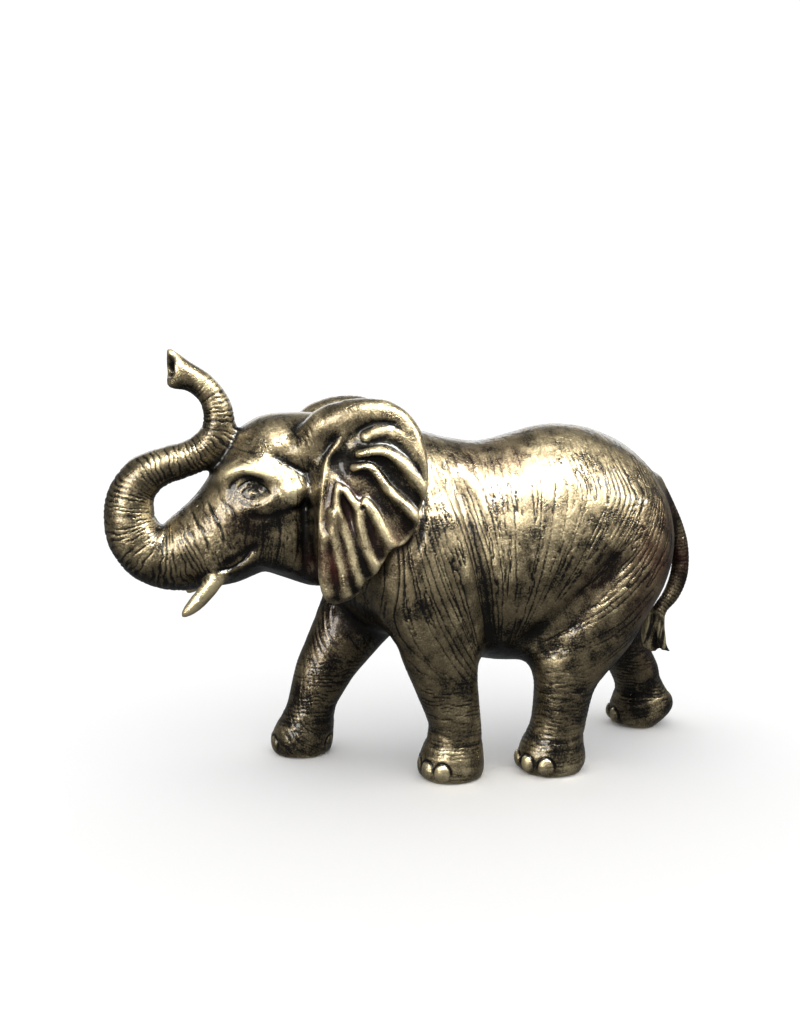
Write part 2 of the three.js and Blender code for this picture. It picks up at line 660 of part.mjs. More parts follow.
// Thins the skin down to a face count, folding away the edges whose loss moves it least (quadric error).
function thin({ positions, faces }, target) {
  const vertexCount = positions.length / 3;
  const quadrics = new Float64Array(vertexCount * 10);
  const around = Array.from({ length: vertexCount }, () => new Set());
  const tri = Int32Array.from(faces);
  const alive = new Uint8Array(tri.length / 3).fill(1);
  const point = (v) => [positions[3 * v], positions[3 * v + 1], positions[3 * v + 2]];
  const cross = (a, b, c) => {
    const [ux, uy, uz] = [b[0] - a[0], b[1] - a[1], b[2] - a[2]];
    const [wx, wy, wz] = [c[0] - a[0], c[1] - a[1], c[2] - a[2]];
    return [uy * wz - uz * wy, uz * wx - ux * wz, ux * wy - uy * wx];
  };
  for (let f = 0; f < alive.length; f++) {
    const [a, b, c] = [tri[3 * f], tri[3 * f + 1], tri[3 * f + 2]];
    const n = cross(point(a), point(b), point(c));
    const size = Math.hypot(...n) || 1e-12;
    const [nx, ny, nz] = n.map((q) => q / size);
    const p = point(a);
    const d = -(nx * p[0] + ny * p[1] + nz * p[2]);
    const q = [nx * nx, nx * ny, nx * nz, nx * d, ny * ny, ny * nz, ny * d, nz * nz, nz * d, d * d];
    for (const v of [a, b, c]) {
      around[v].add(f);
      for (let i = 0; i < 10; i++) quadrics[10 * v + i] += q[i] * size;
    }
  }
  const version = new Int32Array(vertexCount);
  const error = (q, [x, y, z]) =>
    q[0] * x * x + 2 * q[1] * x * y + 2 * q[2] * x * z + 2 * q[3] * x + q[4] * y * y + 2 * q[5] * y * z
    + 2 * q[6] * y + q[7] * z * z + 2 * q[8] * z + q[9];
  const plan = (a, b) => {
    const q = Array.from({ length: 10 }, (_, i) => quadrics[10 * a + i] + quadrics[10 * b + i]);
    const [pa, pb] = [point(a), point(b)];
    const middle = pa.map((s, i) => (s + pb[i]) / 2);
    const m = new THREE.Matrix3().set(q[0], q[1], q[2], q[1], q[4], q[5], q[2], q[5], q[7]);
    const choices = [pa, pb, middle];
    const scale = (q[0] + q[4] + q[7]) / 3;
    if (Math.abs(m.determinant()) > 1e-4 * scale ** 3) {
      const best = new THREE.Vector3(-q[3], -q[6], -q[8]).applyMatrix3(m.invert()).toArray();
      if (Math.hypot(...best.map((s, i) => s - middle[i])) < 2 * Math.hypot(...pa.map((s, i) => s - pb[i]))) {
        choices.unshift(best);
      }
    }
    const length = Math.hypot(...pa.map((s, i) => s - pb[i]));
    let [cost, place] = [Infinity, middle];
    for (const c of choices) {
      const e = Math.abs(error(q, c)) + 1e-4 * length ** 3;
      if (e < cost) [cost, place] = [e, c];
    }
    return { cost, a, b, place, stamp: version[a] + version[b] };
  };
  const heap = [];
  const swap = (i, j) => ([heap[i], heap[j]] = [heap[j], heap[i]]);
  const push = (item) => {
    heap.push(item);
    for (let i = heap.length - 1; i > 0; ) {
      const parent = (i - 1) >> 1;
      if (heap[parent].cost <= heap[i].cost) break;
      swap(i, parent);
      i = parent;
    }
  };
  const pop = () => {
    swap(0, heap.length - 1);
    const item = heap.pop();
    for (let i = 0; ; ) {
      let least = i;
      for (const child of [2 * i + 1, 2 * i + 2]) {
        if (child < heap.length && heap[child].cost < heap[least].cost) least = child;
      }
      if (least === i) return item;
      swap(i, least);
      i = least;
    }
  };
  const neighbours = (v) => {
    const found = new Set();
    for (const f of around[v]) for (let n = 0; n < 3; n++) found.add(tri[3 * f + n]);
    found.delete(v);
    return found;
  };
  for (let v = 0; v < vertexCount; v++) for (const w of neighbours(v)) if (v < w) push(plan(v, w));

  // A fold is refused where it would turn a face over or close a passage.
  const allowed = ({ a, b, place }) => {
    const near = neighbours(a);
    let shared = 0;
    for (const v of neighbours(b)) if (near.has(v)) shared++;
    if (shared !== 2) return false;
    for (const [v, other] of [[a, b], [b, a]])
      for (const f of around[v]) {
        const ids = [tri[3 * f], tri[3 * f + 1], tri[3 * f + 2]];
        if (ids.includes(other)) continue;
        const before = cross(...ids.map(point));
        const after = cross(...ids.map((id) => (id === v ? place : point(id))));
        const dot = before[0] * after[0] + before[1] * after[1] + before[2] * after[2];
        if (dot < 0.25 * Math.hypot(...before) * Math.hypot(...after)) return false;
      }
    return true;
  };
  let count = alive.length;
  while (count > target && heap.length) {
    const step = pop();
    const { a, b } = step;
    if (!around[a].size || !around[b].size || step.stamp !== version[a] + version[b]) continue;
    if (!allowed(step)) continue;
    for (let n = 0; n < 3; n++) positions[3 * a + n] = step.place[n];
    for (let i = 0; i < 10; i++) quadrics[10 * a + i] += quadrics[10 * b + i];
    for (const f of around[b]) {
      const ids = [tri[3 * f], tri[3 * f + 1], tri[3 * f + 2]];
      if (ids.includes(a)) {
        alive[f] = 0;
        count--;
        for (const v of ids) if (v !== b) around[v].delete(f);
      } else {
        tri[3 * f + ids.indexOf(b)] = a;
        around[a].add(f);
      }
    }
    around[b].clear();
    version[a] += 1;
    for (const v of neighbours(a)) push(plan(a, v));
  }
  const kept = Array.from(alive.keys()).filter((f) => alive[f]);
  return kept.flatMap((f) => [tri[3 * f], tri[3 * f + 1], tri[3 * f + 2]]);
}

// Keeps only the vertices that faces use.
function compact(positions, faces) {
  const places = new Map();
  const kept = [];
  const index = faces.map((v) => {
    if (!places.has(v)) {
      places.set(v, kept.length / 3);
      kept.push(positions[3 * v], positions[3 * v + 1], positions[3 * v + 2]);
    }
    return places.get(v);
  });
  return { kept, index };
}

// ---- Casting --------------------------------------------------------------------------------------------

const wasm = await Module();
wasm.setup();

function toSolid(vertices, triangles) {
  const vertProperties = Float32Array.from(vertices);
  const triVerts = Uint32Array.from(triangles);
  return new wasm.Manifold(new wasm.Mesh({ numProp: 3, vertProperties, triVerts }));
}

// Everything below the soles, as a block to cut away.
function groundBlock() {
  const box = new THREE.BoxGeometry(600, 300, 40).translate(0, 0, -20);
  const corners = new Map();
  const position = box.getAttribute("position");
  const vertices = [];
  const shared = Array.from(box.index.array, (i) => {
    const p = [position.getX(i), position.getY(i), position.getZ(i)];
    const key = p.join();
    if (!corners.has(key)) {
      corners.set(key, vertices.length / 3);
      vertices.push(...p);
    }
    return corners.get(key);
  });
  return toSolid(vertices, shared);
}

function castElephant() {
  const skin = drawSkin();
  settle(skin);
  const faces = thin(skin, SKIN_TRIANGLES);
  const { kept, index } = compact(skin.positions, faces);
  const cut = toSolid(kept, index).subtract(groundBlock());
  const { vertProperties, triVerts, numProp } = cut.getMesh();
  const geometry = new THREE.BufferGeometry();
  const vertices = new Float32Array((vertProperties.length / numProp) * 3);
  for (let v = 0; v * 3 < vertices.length; v++) {
    vertices.set(vertProperties.subarray(v * numProp, v * numProp + 3), v * 3);
  }
  geometry.setAttribute("position", new THREE.BufferAttribute(vertices, 3));
  geometry.setIndex(new THREE.BufferAttribute(Uint32Array.from(triVerts), 1));
  geometry.computeVertexNormals();
  return geometry;
}

const bronze = new THREE.MeshStandardMaterial({ color: 0x8c7a46, metalness: 1, roughness: 0.32 });
const casting = new THREE.Mesh(castElephant(), bronze);
casting.name = "elephant";
casting.geometry.computeBoundingBox();
const box = casting.geometry.boundingBox;
casting.position.set(-(box.min.x + box.max.x) / 2, -(box.min.y + box.max.y) / 2, -box.min.z);

const sculpture = new THREE.Group();
sculpture.add(casting);
export default sculpture;
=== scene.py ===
"""Dresses the cast bronze elephant: hide, folds, patina, and the studio it stands in.

Lengths named in this file are millimetres in the part's frame (+Z up, soles on z = 0, head to -X, left flank to -Y),
unless they are Blender properties, which are metres.
"""

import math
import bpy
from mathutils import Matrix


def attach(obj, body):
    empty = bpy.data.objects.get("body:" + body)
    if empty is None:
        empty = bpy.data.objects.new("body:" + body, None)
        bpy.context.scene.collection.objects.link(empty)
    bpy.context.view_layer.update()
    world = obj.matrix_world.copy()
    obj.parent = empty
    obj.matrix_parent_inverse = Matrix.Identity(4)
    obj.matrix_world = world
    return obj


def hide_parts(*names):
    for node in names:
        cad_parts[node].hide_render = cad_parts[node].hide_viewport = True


bl_info = {
    "name": "Cast Bronze Elephant",
    "version": (1, 0, 0),
    "blender": (4, 5, 0),
    "location": "View3D > Sidebar > Elephant",
    "description": "Chases the hide of a cast bronze elephant, patinates it and sets up its studio",
    "category": "Object",
}

import bmesh
import bpy
import numpy as np
from mathutils import Vector

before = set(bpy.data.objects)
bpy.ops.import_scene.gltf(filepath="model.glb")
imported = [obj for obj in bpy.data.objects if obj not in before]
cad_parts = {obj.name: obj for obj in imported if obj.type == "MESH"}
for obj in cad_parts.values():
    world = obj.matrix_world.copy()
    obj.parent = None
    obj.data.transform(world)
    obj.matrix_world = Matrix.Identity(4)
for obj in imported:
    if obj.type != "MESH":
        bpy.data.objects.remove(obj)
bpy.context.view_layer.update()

MM = 0.001
CAST_NAME = "elephant_cast"

# ---- Places on the animal ------------------------------------------------------------------------------------

# Middle line of the trunk: x, z, radius.
TRUNK = [
    (-134.3, 168.0, 30.0), (-151.3, 161.0, 27.5), (-167.3, 154.2, 23.5), (-183.9, 155.4, 20.5), (-195.1, 165.0, 18.5),
    (-200.3, 181.0, 17.0), (-197.9, 197.5, 15.6), (-189.3, 209.4, 14.5), (-176.3, 215.8, 13.2), (-161.3, 220.0, 12.3),
    (-149.3, 226.3, 12.0), (-140.7, 236.0, 11.5), (-138.9, 248.9, 10.4), (-141.8, 260.0, 9.8), (-149.3, 269.8, 9.3),
    (-159.3, 276.0, 9.6), (-167.5, 282.0, 9.5),
]

# Middle line of the tail: x, z, radius.
TAIL = [
    (173.7, 196.0, 10.0), (186.7, 177.0, 7.8), (195.2, 160.0, 6.8), (198.9, 143.0, 6.5), (197.9, 128.0, 6.5),
    (192.2, 114.5, 6.2), (183.3, 104.0, 5.4), (177.7, 95.0, 5.4), (176.5, 84.0, 6.5), (181.0, 74.0, 6.5),
]

# Tusks: side, root and tip.
TUSKS = [
    (-1, (-141.3, -21.5, 144.5), (-166.5, -26.0, 117.6)),
    (1, (-141.3, 21.5, 145.0), (-163.1, 28.5, 123.0)),
]

# Feet: side, middle x and y, radii of the nail ring, bearings of the nails in degrees from straight ahead.
FEET = [
    (-1, (14.7, 38.5), (19.8, 19.5), (-70, -37, -4, 28, 60)),
    (1, (-82.3, 30.0), (19.0, 18.5), (-14, 20, 54, 88)),
    (-1, (86.7, 40.0), (22.0, 19.5), (-48, -10, 28, 65)),
    (1, (185.7, 45.5), (18.0, 18.0), (-12, 28, 68)),
]
NAIL_HEIGHT = 8.5

# Outline of the ear's fan in the side view: x, z.
EAR_RIM = [
    (-8.3, 222), (-7.3, 211), (-8.8, 200), (-12.8, 190), (-13.8, 181), (-17.8, 172), (-24.3, 165.5), (-31.8, 164),
    (-34.3, 157), (-38.8, 151), (-42.3, 145), (-48.3, 141), (-50.8, 134), (-58.3, 128.5), (-67.3, 126), (-74.3, 129),
    (-78.3, 141), (-79.3, 157), (-78.8, 180), (-77.3, 200), (-72.3, 222), (-60.3, 240), (-44.3, 250), (-28.3, 249),
    (-16.3, 238),
]

# Lines that the chased grooves of the body run along: fans on the flank and thigh, folds of the shoulder: x, z.
BODY_FLOW = [
    [(35.4, 101.1), (27.9, 129.6), (22.6, 153.8), (14.4, 179.7), (6.3, 203.3)],
    [(45.7, 96.6), (41.3, 121.1), (39.0, 141.2), (34.7, 163.3), (27.4, 189.1)],
    [(53.0, 94.2), (52.6, 120.6), (53.3, 144.7), (54.0, 168.7), (54.6, 196.4)],
    [(58.1, 96.0), (62.9, 120.2), (68.7, 144.2), (74.6, 166.1), (79.3, 189.9)],
    [(64.3, 97.7), (74.4, 119.7), (84.4, 139.6), (94.4, 159.4), (106.5, 183.2)],
    [(68.4, 99.5), (82.8, 115.2), (99.2, 135.0), (115.5, 156.8), (131.8, 180.6)],
    [(72.6, 101.4), (91.2, 116.9), (111.9, 132.4), (132.7, 150.1), (149.2, 170.0), (159.3, 190.0)],
    [(74.8, 97.2), (95.5, 108.6), (120.7, 121.9), (141.6, 139.5), (156.1, 157.5), (164.1, 175.7)],
    [(74.9, 91.0), (100.0, 98.1), (127.4, 109.2), (148.4, 126.9), (163.0, 145.0)],
    [(75.1, 80.7), (100.2, 87.7), (125.6, 96.9), (144.6, 110.5), (159.3, 124.4)],
    [(73.2, 66.4), (96.3, 71.3), (117.5, 80.6), (134.4, 92.3)],
    [(-3.6, 193.8), (2.5, 170.2), (10.6, 146.2), (20.9, 121.9), (27.2, 97.4)],
    [(-11.4, 190.1), (-7.4, 164.6), (0.7, 138.7), (12.9, 114.2), (24.2, 93.5)],
    [(-15.3, 166.8), (-11.3, 147.0), (-3.3, 122.9), (8.9, 98.3), (23.3, 77.3)],
    [(-15.3, 139.3), (-9.3, 115.2), (2.9, 90.6), (17.2, 69.5)],
    [(-11.9, 117.0), (1.9, 96.0), (19.3, 70.9), (27.0, 60.4)],
    [(-22.0, 92.0), (-4.9, 77.4), (26.3, 58.3)],
    [(-17.2, 67.8), (2.0, 59.8), (28.5, 51.2)],
    [(-6.8, 42.8), (9.1, 41.9), (32.3, 38.9)],
    [(-10.0, 28.0), (12.0, 29.0), (38.0, 28.0)],
    [(70.0, 52.0), (95.0, 53.0), (120.0, 58.0)],
    [(66.0, 32.0), (92.0, 32.0), (120.0, 34.0)],
    [(14.0, 228.1), (20.2, 208.6)],
    [(64.1, 235.4), (66.7, 211.8)],
    [(96.9, 235.0), (106.1, 207.1)],
    [(132.1, 228.8), (143.7, 202.5)],
    [(170.0, 200.0), (180.0, 178.0), (176.0, 150.0)],
    [(-30.0, 210.0), (-28.0, 180.0), (-24.0, 150.0), (-30.0, 120.0)],
    [(-60.0, 110.0), (-48.0, 80.0), (-52.0, 50.0)],
]
TICKED = [(98, 112, 26, 1.0), (84, 96, 22, 1.0), (92, 150, 26, 0.8), (120, 120, 24, 0.8), (60, 130, 20, 0.5)]

# Lines that the fine creases of the face run along.
FACE_FLOW = [
    [(-104.3, 190.2), (-103.3, 178.2), (-105.9, 161.4)],
    [(-96.0, 187.6), (-93.8, 173.1), (-95.3, 151.4)],
    [(-86.5, 189.7), (-84.3, 170.4), (-85.8, 146.3)],
    [(-119.5, 190.5), (-122.1, 176.3), (-124.7, 162.0)],
    [(-154.4, 186.6), (-145.5, 172.2), (-138.9, 152.9)],
    [(-145.0, 193.5), (-136.1, 179.1), (-129.4, 162.2)],
    [(-100.0, 242.1), (-95.5, 230.3), (-90.9, 220.8)],
    [(-90.5, 246.7), (-84.8, 232.5), (-81.4, 220.6)],
    [(-132.0, 226.0), (-122.0, 222.0), (-108.0, 222.0)],
    [(-140.0, 206.0), (-141.0, 196.0), (-138.0, 186.0)],
]

# Ridges of the ear's fan, from the ear hole out to the rim.
EAR_RIBS = [
    [(-47, 237), (-34, 241), (-21, 234), (-11, 221), (-7, 209)],
    [(-52, 226), (-38, 228), (-27, 222), (-17, 210), (-8, 198)],
    [(-55, 217), (-46, 218), (-40, 212), (-34, 203), (-24, 193), (-14, 183)],
    [(-48, 195), (-42, 186), (-37, 175), (-32, 165)],
    [(-61, 203), (-55, 194), (-52, 188), (-51, 177), (-47, 162), (-41, 150)],
    [(-65, 205), (-66, 193), (-63, 181), (-59, 169), (-56, 156), (-52, 141)],
    [(-69, 188), (-68, 172), (-64, 154), (-60, 134)],
    [(-75, 172), (-74, 157), (-72, 134)],
]

# Single lines modelled on both sides: rise (cut where negative), half width, then x, z.
DRAWN = {
    "upper_lid": (0.5, 0.7, [(-128.0, 198.9), (-125.1, 202.4), (-120.3, 204.0), (-115.5, 202.2), (-110.7, 198.6)]),
    "lower_lid": (0.35, 0.7, [(-128.0, 198.4), (-124.3, 195.8), (-119.5, 194.8), (-114.7, 196.4), (-110.7, 198.6)]),
    "lid_crease": (-0.9, 0.6, [(-129.4, 201.8), (-124.3, 206.1), (-119.3, 207.2), (-113.6, 204.7), (-107.0, 199.0)]),
    "under_lid": (-0.35, 0.6, [(-130.0, 196.0), (-125.3, 192.7), (-119.6, 191.2), (-113.8, 192.7), (-106.9, 197.5)]),
    "under_fold": (-0.2, 0.7, [(-130.5, 192.0), (-124.5, 189.2), (-118.5, 188.2), (-111.5, 189.9), (-104.5, 194.5)]),
    "brow_ridge": (1.0, 3.6, [(-139.2, 209.0), (-133.4, 213.2), (-124.7, 215.4), (-114.1, 213.5), (-103.5, 208.5)]),
    "brow_shadow": (-1.0, 2.0, [(-133.6, 200.5), (-131.6, 205.7), (-126.8, 209.3), (-120.1, 209.9), (-110.6, 206.8)]),
    "cheekbone": (1.3, 5.0, [(-104.5, 197.5), (-97.4, 201.1), (-89.7, 203.3), (-80.0, 201.6)]),
    "cheek_shadow": (-1.2, 2.4, [(-124.0, 186.5), (-111.2, 183.8), (-99.6, 187.0), (-87.9, 189.5), (-78.2, 190.7)]),
    "temple_groove": (-1.4, 2.0, [(-97.7, 219.7), (-91.1, 215.7), (-81.3, 210.8)]),
    "mouth": (-1.6, 1.2, [(-144.3, 147.4), (-135.4, 148.4), (-130.5, 150.2), (-125.6, 154.0), (-121.1, 159.8)]),
    "cheek_line": (-0.4, 1.0, [(-126.2, 187.5), (-122.6, 178.7), (-124.7, 167.0), (-122.0, 160.0)]),
    "jaw_fold_a": (-0.35, 0.9, [(-114.8, 184.3), (-112.0, 175.5), (-113.2, 163.7), (-115.3, 153.9)]),
    "jaw_fold_b": (-0.4, 1.0, [(-103.2, 184.0), (-101.4, 175.2), (-102.5, 161.4), (-105.7, 149.6)]),
    "jaw_fold_c": (-0.4, 1.0, [(-91.5, 184.7), (-89.7, 174.8), (-89.8, 161.0), (-92.0, 149.1)]),
    "neck_fold_a": (-0.7, 1.6, [(-81.2, 186.9), (-80.3, 177.1), (-80.5, 163.3), (-82.6, 147.5)]),
    "trunk_root": (-0.6, 0.9, [(-158.6, 187.9), (-155.9, 180.0), (-151.3, 172.1), (-147.8, 160.1)]),
    "trunk_root_b": (-0.6, 0.9, [(-148.9, 195.4), (-145.3, 185.6), (-139.8, 175.7), (-138.1, 163.7)]),
    "ripple": (-0.35, 0.9, [(-142.1, 201.1), (-138.4, 193.2), (-131.9, 187.2), (-130.2, 176.3)]),
    "neck_fold": (-1.2, 2.4, [(-4.0, 222.0), (-5.5, 205.0), (-8.0, 188.0), (-11.0, 170.0), (-17.0, 155.0)]),
    "shoulder_valley": (-0.9, 5.0, [(24.0, 165.0), (29.0, 140.0), (34.0, 118.0), (38.0, 96.0)]),
    "flank_valley": (-1.9, 6.5, [(52.0, 90.0), (72.0, 103.0), (94.0, 122.0), (114.0, 143.0), (132.0, 166.0)]),
    "knee_pad": (1.0, 7.0, [(74.0, 92.0), (92.0, 98.0), (108.0, 106.0)]),
}

# Patina tints laid on at listed places: x, z, reach, and how much of it.
GOLD_WASH = [
    (-120, 216, 16, 0.7), (-95, 199, 14, 0.8), (-138, 158, 14, 0.5), (-112, 172, 18, 0.4), (120, 112, 26, 0.4),
    (78, 92, 18, 0.6), (20, 110, 24, 0.5), (25, 150, 20, 0.35), (60, 160, 34, 0.35), (95, 170, 26, 0.3),
    (-45, 232, 24, 0.5), (-30, 195, 26, 0.4), (-65, 145, 22, 0.5), (-195, 180, 30, 0.5), (15, 10, 26, 0.6),
    (-80, 10, 26, 0.6), (92, 10, 26, 0.6), (190, 12, 30, 0.6), (180, 84, 18, 0.7), (25, 45, 20, 0.4),
]
RED_WASH = [
    (158, 150, 24, 0.9), (150, 120, 22, 0.5), (172, 176, 16, 0.7), (-71, 152, 11, 1.3), (-60, 190, 16, 0.4),
    (-30, 170, 18, 0.4), (-100, 60, 18, 0.25), (-68, 90, 22, 0.15), (110, 130, 20, 0.3), (192, 60, 14, 0.5), (196, 140, 22, 0.6),
    (-128, 176, 14, 0.3), (45, 215, 26, 0.3),
]


# Spots darkened with painted shade, where hollows, undersides and far legs lie in shadow: x, z, reach, and how much of
# it.
PAINTED_SHADE_SPOTS = [
    (-120, 199.5, 5, 1.4), (-130, 198, 4, 0.6), (-126, 204, 5, 0.7), (110, 95, 22, 0.7), (98, 50, 20, 0.6),
    (-140, 250, 14, 0.5), (-112, 178, 16, 0.7), (-92, 172, 16, 0.7), (-124, 162, 10, 0.8), (-62, 222, 9, 0.9),
    (-132, 203, 5, 0.7), (48, 100, 16, 0.8), (66, 92, 14, 0.9), (98, 62, 16, 0.6), (18, 62, 14, 0.5), (78, 20, 14, 0.5),
    (110, 148, 16, 0.5), (92, 130, 12, 0.4), (-10, 128, 14, 0.5), (195, 150, 30, 0.9), (196, 118, 14, 0.9),
    (-152, 262, 10, 0.6), (-2, 175, 10, 0.4), (-60, 120, 14, 0.5),
]


# ---- Numbers over points -------------------------------------------------------------------------------------

def smoothstep(value, low, high):
    t = np.clip((value - low) / (high - low), 0.0, 1.0)
    return t * t * (3.0 - 2.0 * t)


def smooth_line(points, steps=6):
    """Points of a Catmull-Rom line through the given rows of numbers."""
    rows = np.array([points[0], *points, points[-1]], float)
    line = []
    for i in range(1, len(rows) - 2):
        a, b, c, d = rows[i - 1:i + 3]
        for t in np.linspace(0.0, 1.0, steps, endpoint=False):
            line.append(0.5 * (2 * b + (c - a) * t + (2 * a - 5 * b + 4 * c - d) * t * t
                               + (3 * b - a - 3 * c + d) * t ** 3))
    line.append(rows[-2])
    return np.array(line)


def nearest_on_line(xz, line):
    """Distance to a line of (x, z, ...) rows, the length along it, and the row's other values there."""
    best = np.full(len(xz), 1e9)
    along = np.zeros(len(xz))
    values = np.zeros((len(xz), line.shape[1] - 2))
    start = 0.0
    for a, b in zip(line[:-1], line[1:]):
        step = b[:2] - a[:2]
        length = math.hypot(*step)
        if length < 1e-6:
            continue
        t = np.clip((xz - a[:2]) @ step / length ** 2, 0.0, 1.0)
        gap = np.hypot(*(xz - a[:2] - t[:, None] * step).T)
        near = gap < best
        best = np.where(near, gap, best)
        along = np.where(near, start + t * length, along)
        if values.shape[1]:
            values[near] = (a[2:] + t[:, None] * (b[2:] - a[2:]))[near]
        start += length
    return best, along, values, start


def inside_outline(xz, outline):
    """Signed distance to a closed outline in the side view, negative inside."""
    rim = np.array([*outline, outline[0]], float)
    gap = nearest_on_line(xz, rim)[0]
    inside = np.zeros(len(xz), bool)
    for a, b in zip(rim[:-1], rim[1:]):
        crosses = (a[1] > xz[:, 1]) != (b[1] > xz[:, 1])
        with np.errstate(divide="ignore", invalid="ignore"):
            at = a[0] + (xz[:, 1] - a[1]) * (b[0] - a[0]) / (b[1] - a[1])
        inside ^= crosses & (xz[:, 0] < at)
    return np.where(inside, -gap, gap)


def lattice_noise(points, cell, seed):
    """Smooth random values in -1..1 over points, on a lattice whose cells are `cell` millimetres."""
    size = 64
    lattice = np.random.default_rng(seed).uniform(-1.0, 1.0, (size, size, size)).astype(np.float32)
    q = np.asarray(points) / np.asarray(cell, float) + 0.37 * seed
    low = np.floor(q).astype(int)
    f = q - low
    f = f * f * (3.0 - 2.0 * f)
    total = np.zeros(len(q))
    for corner in range(8):
        bits = np.array([corner & 1, (corner >> 1) & 1, corner >> 2])
        weight = np.prod(np.where(bits, f, 1.0 - f), axis=1)
        i, j, k = ((low + bits) % size).T
        total += weight * lattice[i, j, k]
    return total


# ---- Chased grooves ------------------------------------------------------------------------------------------

class GrooveSheet:
    """Grooves that follow the flow of the hide, drawn on a sheet in the side view and read back at points."""

    CELL = 0.5
    FLOW_CELL = 2.5

    def __init__(self, flow_lines, low, high, seed):
        self.rng = np.random.default_rng(seed)
        self.low, self.high = low, high
        self.angle = self.flow(flow_lines)

    def grid(self, cell):
        return np.meshgrid(*(np.arange(a, b, cell) for a, b in zip(self.low, self.high)), indexing="ij")

    def read(self, field, cell, x, z):
        """The field's value at places, between its cells."""
        u = np.clip((x - self.low[0]) / cell, 0, field.shape[0] - 1.001)
        v = np.clip((z - self.low[1]) / cell, 0, field.shape[1] - 1.001)
        i, j = u.astype(int), v.astype(int)
        fu, fv = u - i, v - j
        near = field[i, j] * (1 - fu) + field[i + 1, j] * fu
        far = field[i, j + 1] * (1 - fu) + field[i + 1, j + 1] * fu
        return near * (1 - fv) + far * fv

    def flow(self, flow_lines):
        """Slope of the grooves over the sheet. A slope and its opposite are one, so twice the angle is averaged."""
        gx, gz = self.grid(self.FLOW_CELL)
        c, s = np.zeros_like(gx), np.zeros_like(gx)
        for points in flow_lines:
            line = smooth_line(points, 4)
            for (x, z), (dx, dz) in zip(0.5 * (line[1:] + line[:-1]), np.diff(line, axis=0)):
                double = 2.0 * math.atan2(dz, dx)
                weight = math.hypot(dx, dz) / (((gx - x) ** 2 + (gz - z) ** 2) / 36.0 + 1.0) ** 1.6
                c += weight * math.cos(double)
                s += weight * math.sin(double)
        fine = self.grid(self.CELL)
        return 0.5 * np.arctan2(self.read(s, self.FLOW_CELL, *fine), self.read(c, self.FLOW_CELL, *fine))

    def grain(self, blur):
        """White noise softened to a grain of about `blur` millimetres."""
        field = self.rng.standard_normal(self.angle.shape).astype(np.float32)
        reach = int(3 * blur / self.CELL)
        kernel = np.exp(-0.5 * (np.arange(-reach, reach + 1) * self.CELL / blur) ** 2)
        for axis in (0, 1):
            field = sum(w * np.roll(field, i - reach, axis) for i, w in enumerate(kernel / kernel.sum()))
        return field

    def drawn_along(self, turn, spacing, reach):
        """Signed distance to long grooves `spacing` apart, made from grain drawn out along the flow by `reach`."""
        grain = self.grain(spacing / 4.44)
        angle = self.angle + turn
        step = 2 * self.CELL
        total = grain.copy()
        for direction in (1.0, -1.0):
            x, z = self.grid(self.CELL)
            dx, dz = direction * np.cos(angle), direction * np.sin(angle)
            for _ in range(int(reach / step)):
                x, z = x + step * dx, z + step * dz
                i = np.clip(((x - self.low[0]) / self.CELL).astype(int), 0, grain.shape[0] - 1)
                j = np.clip(((z - self.low[1]) / self.CELL).astype(int), 0, grain.shape[1] - 1)
                nx, nz = np.cos(angle[i, j]), np.sin(angle[i, j])
                sign = np.where(nx * dx + nz * dz < 0, -1.0, 1.0)
                dx, dz = nx * sign, nz * sign
                total += grain[i, j]
        slope = np.hypot(*np.gradient(total, self.CELL))
        return total / np.maximum(slope, 0.4 * np.median(slope))


def cut(distance, width):
    """A crisp groove with soft shoulders, 1 deep, where a signed distance crosses zero."""
    return 0.7 * np.exp(-(distance / width) ** 2) + 0.3 * np.exp(-(distance / (2.6 * width)) ** 2)


def body_grooves(points, size):
    """Depth, 0..1, of the grooves of the body and of the ticks between them."""
    x, z = points[:, 0], points[:, 2]
    depth, ticks = np.zeros(len(x)), np.zeros(len(x))
    for side, seed in ((-1, 11), (1, 23)):
        sheet = GrooveSheet(BODY_FLOW, (-100.0, -5.0), (215.0, 262.0), seed)
        lines = sheet.drawn_along(0.0, size.groove_spacing * 1000, 62.0)
        cross = sheet.drawn_along(math.pi / 2, size.tick_spacing * 1000, 4.0)
        mine = points[:, 1] * side > 0
        px, pz = x[mine], z[mine]
        if side > 0:
            # The right hind leg trails and the right foreleg leads, and the grooves go with them.
            px = px - 42.0 * (1 - smoothstep(pz, 70.0, 180.0)) * smoothstep(px, 50.0, 90.0)
            px = px + 40.0 * (1 - smoothstep(pz, 70.0, 170.0)) * (1 - smoothstep(px, 0.0, 40.0))
        gap = sheet.read(lines, sheet.CELL, px, pz)
        across = sheet.read(cross, sheet.CELL, px, pz)
        width = size.groove_width * 1000
        depth[mine] = cut(gap, width)
        ticks[mine] = cut(across, 0.8 * width) * smoothstep(gap, 0.0, 0.6)
    return depth, ticks * np.clip(wash(points, TICKED), 0, 1)


# ---- Regions of the body -------------------------------------------------------------------------------------

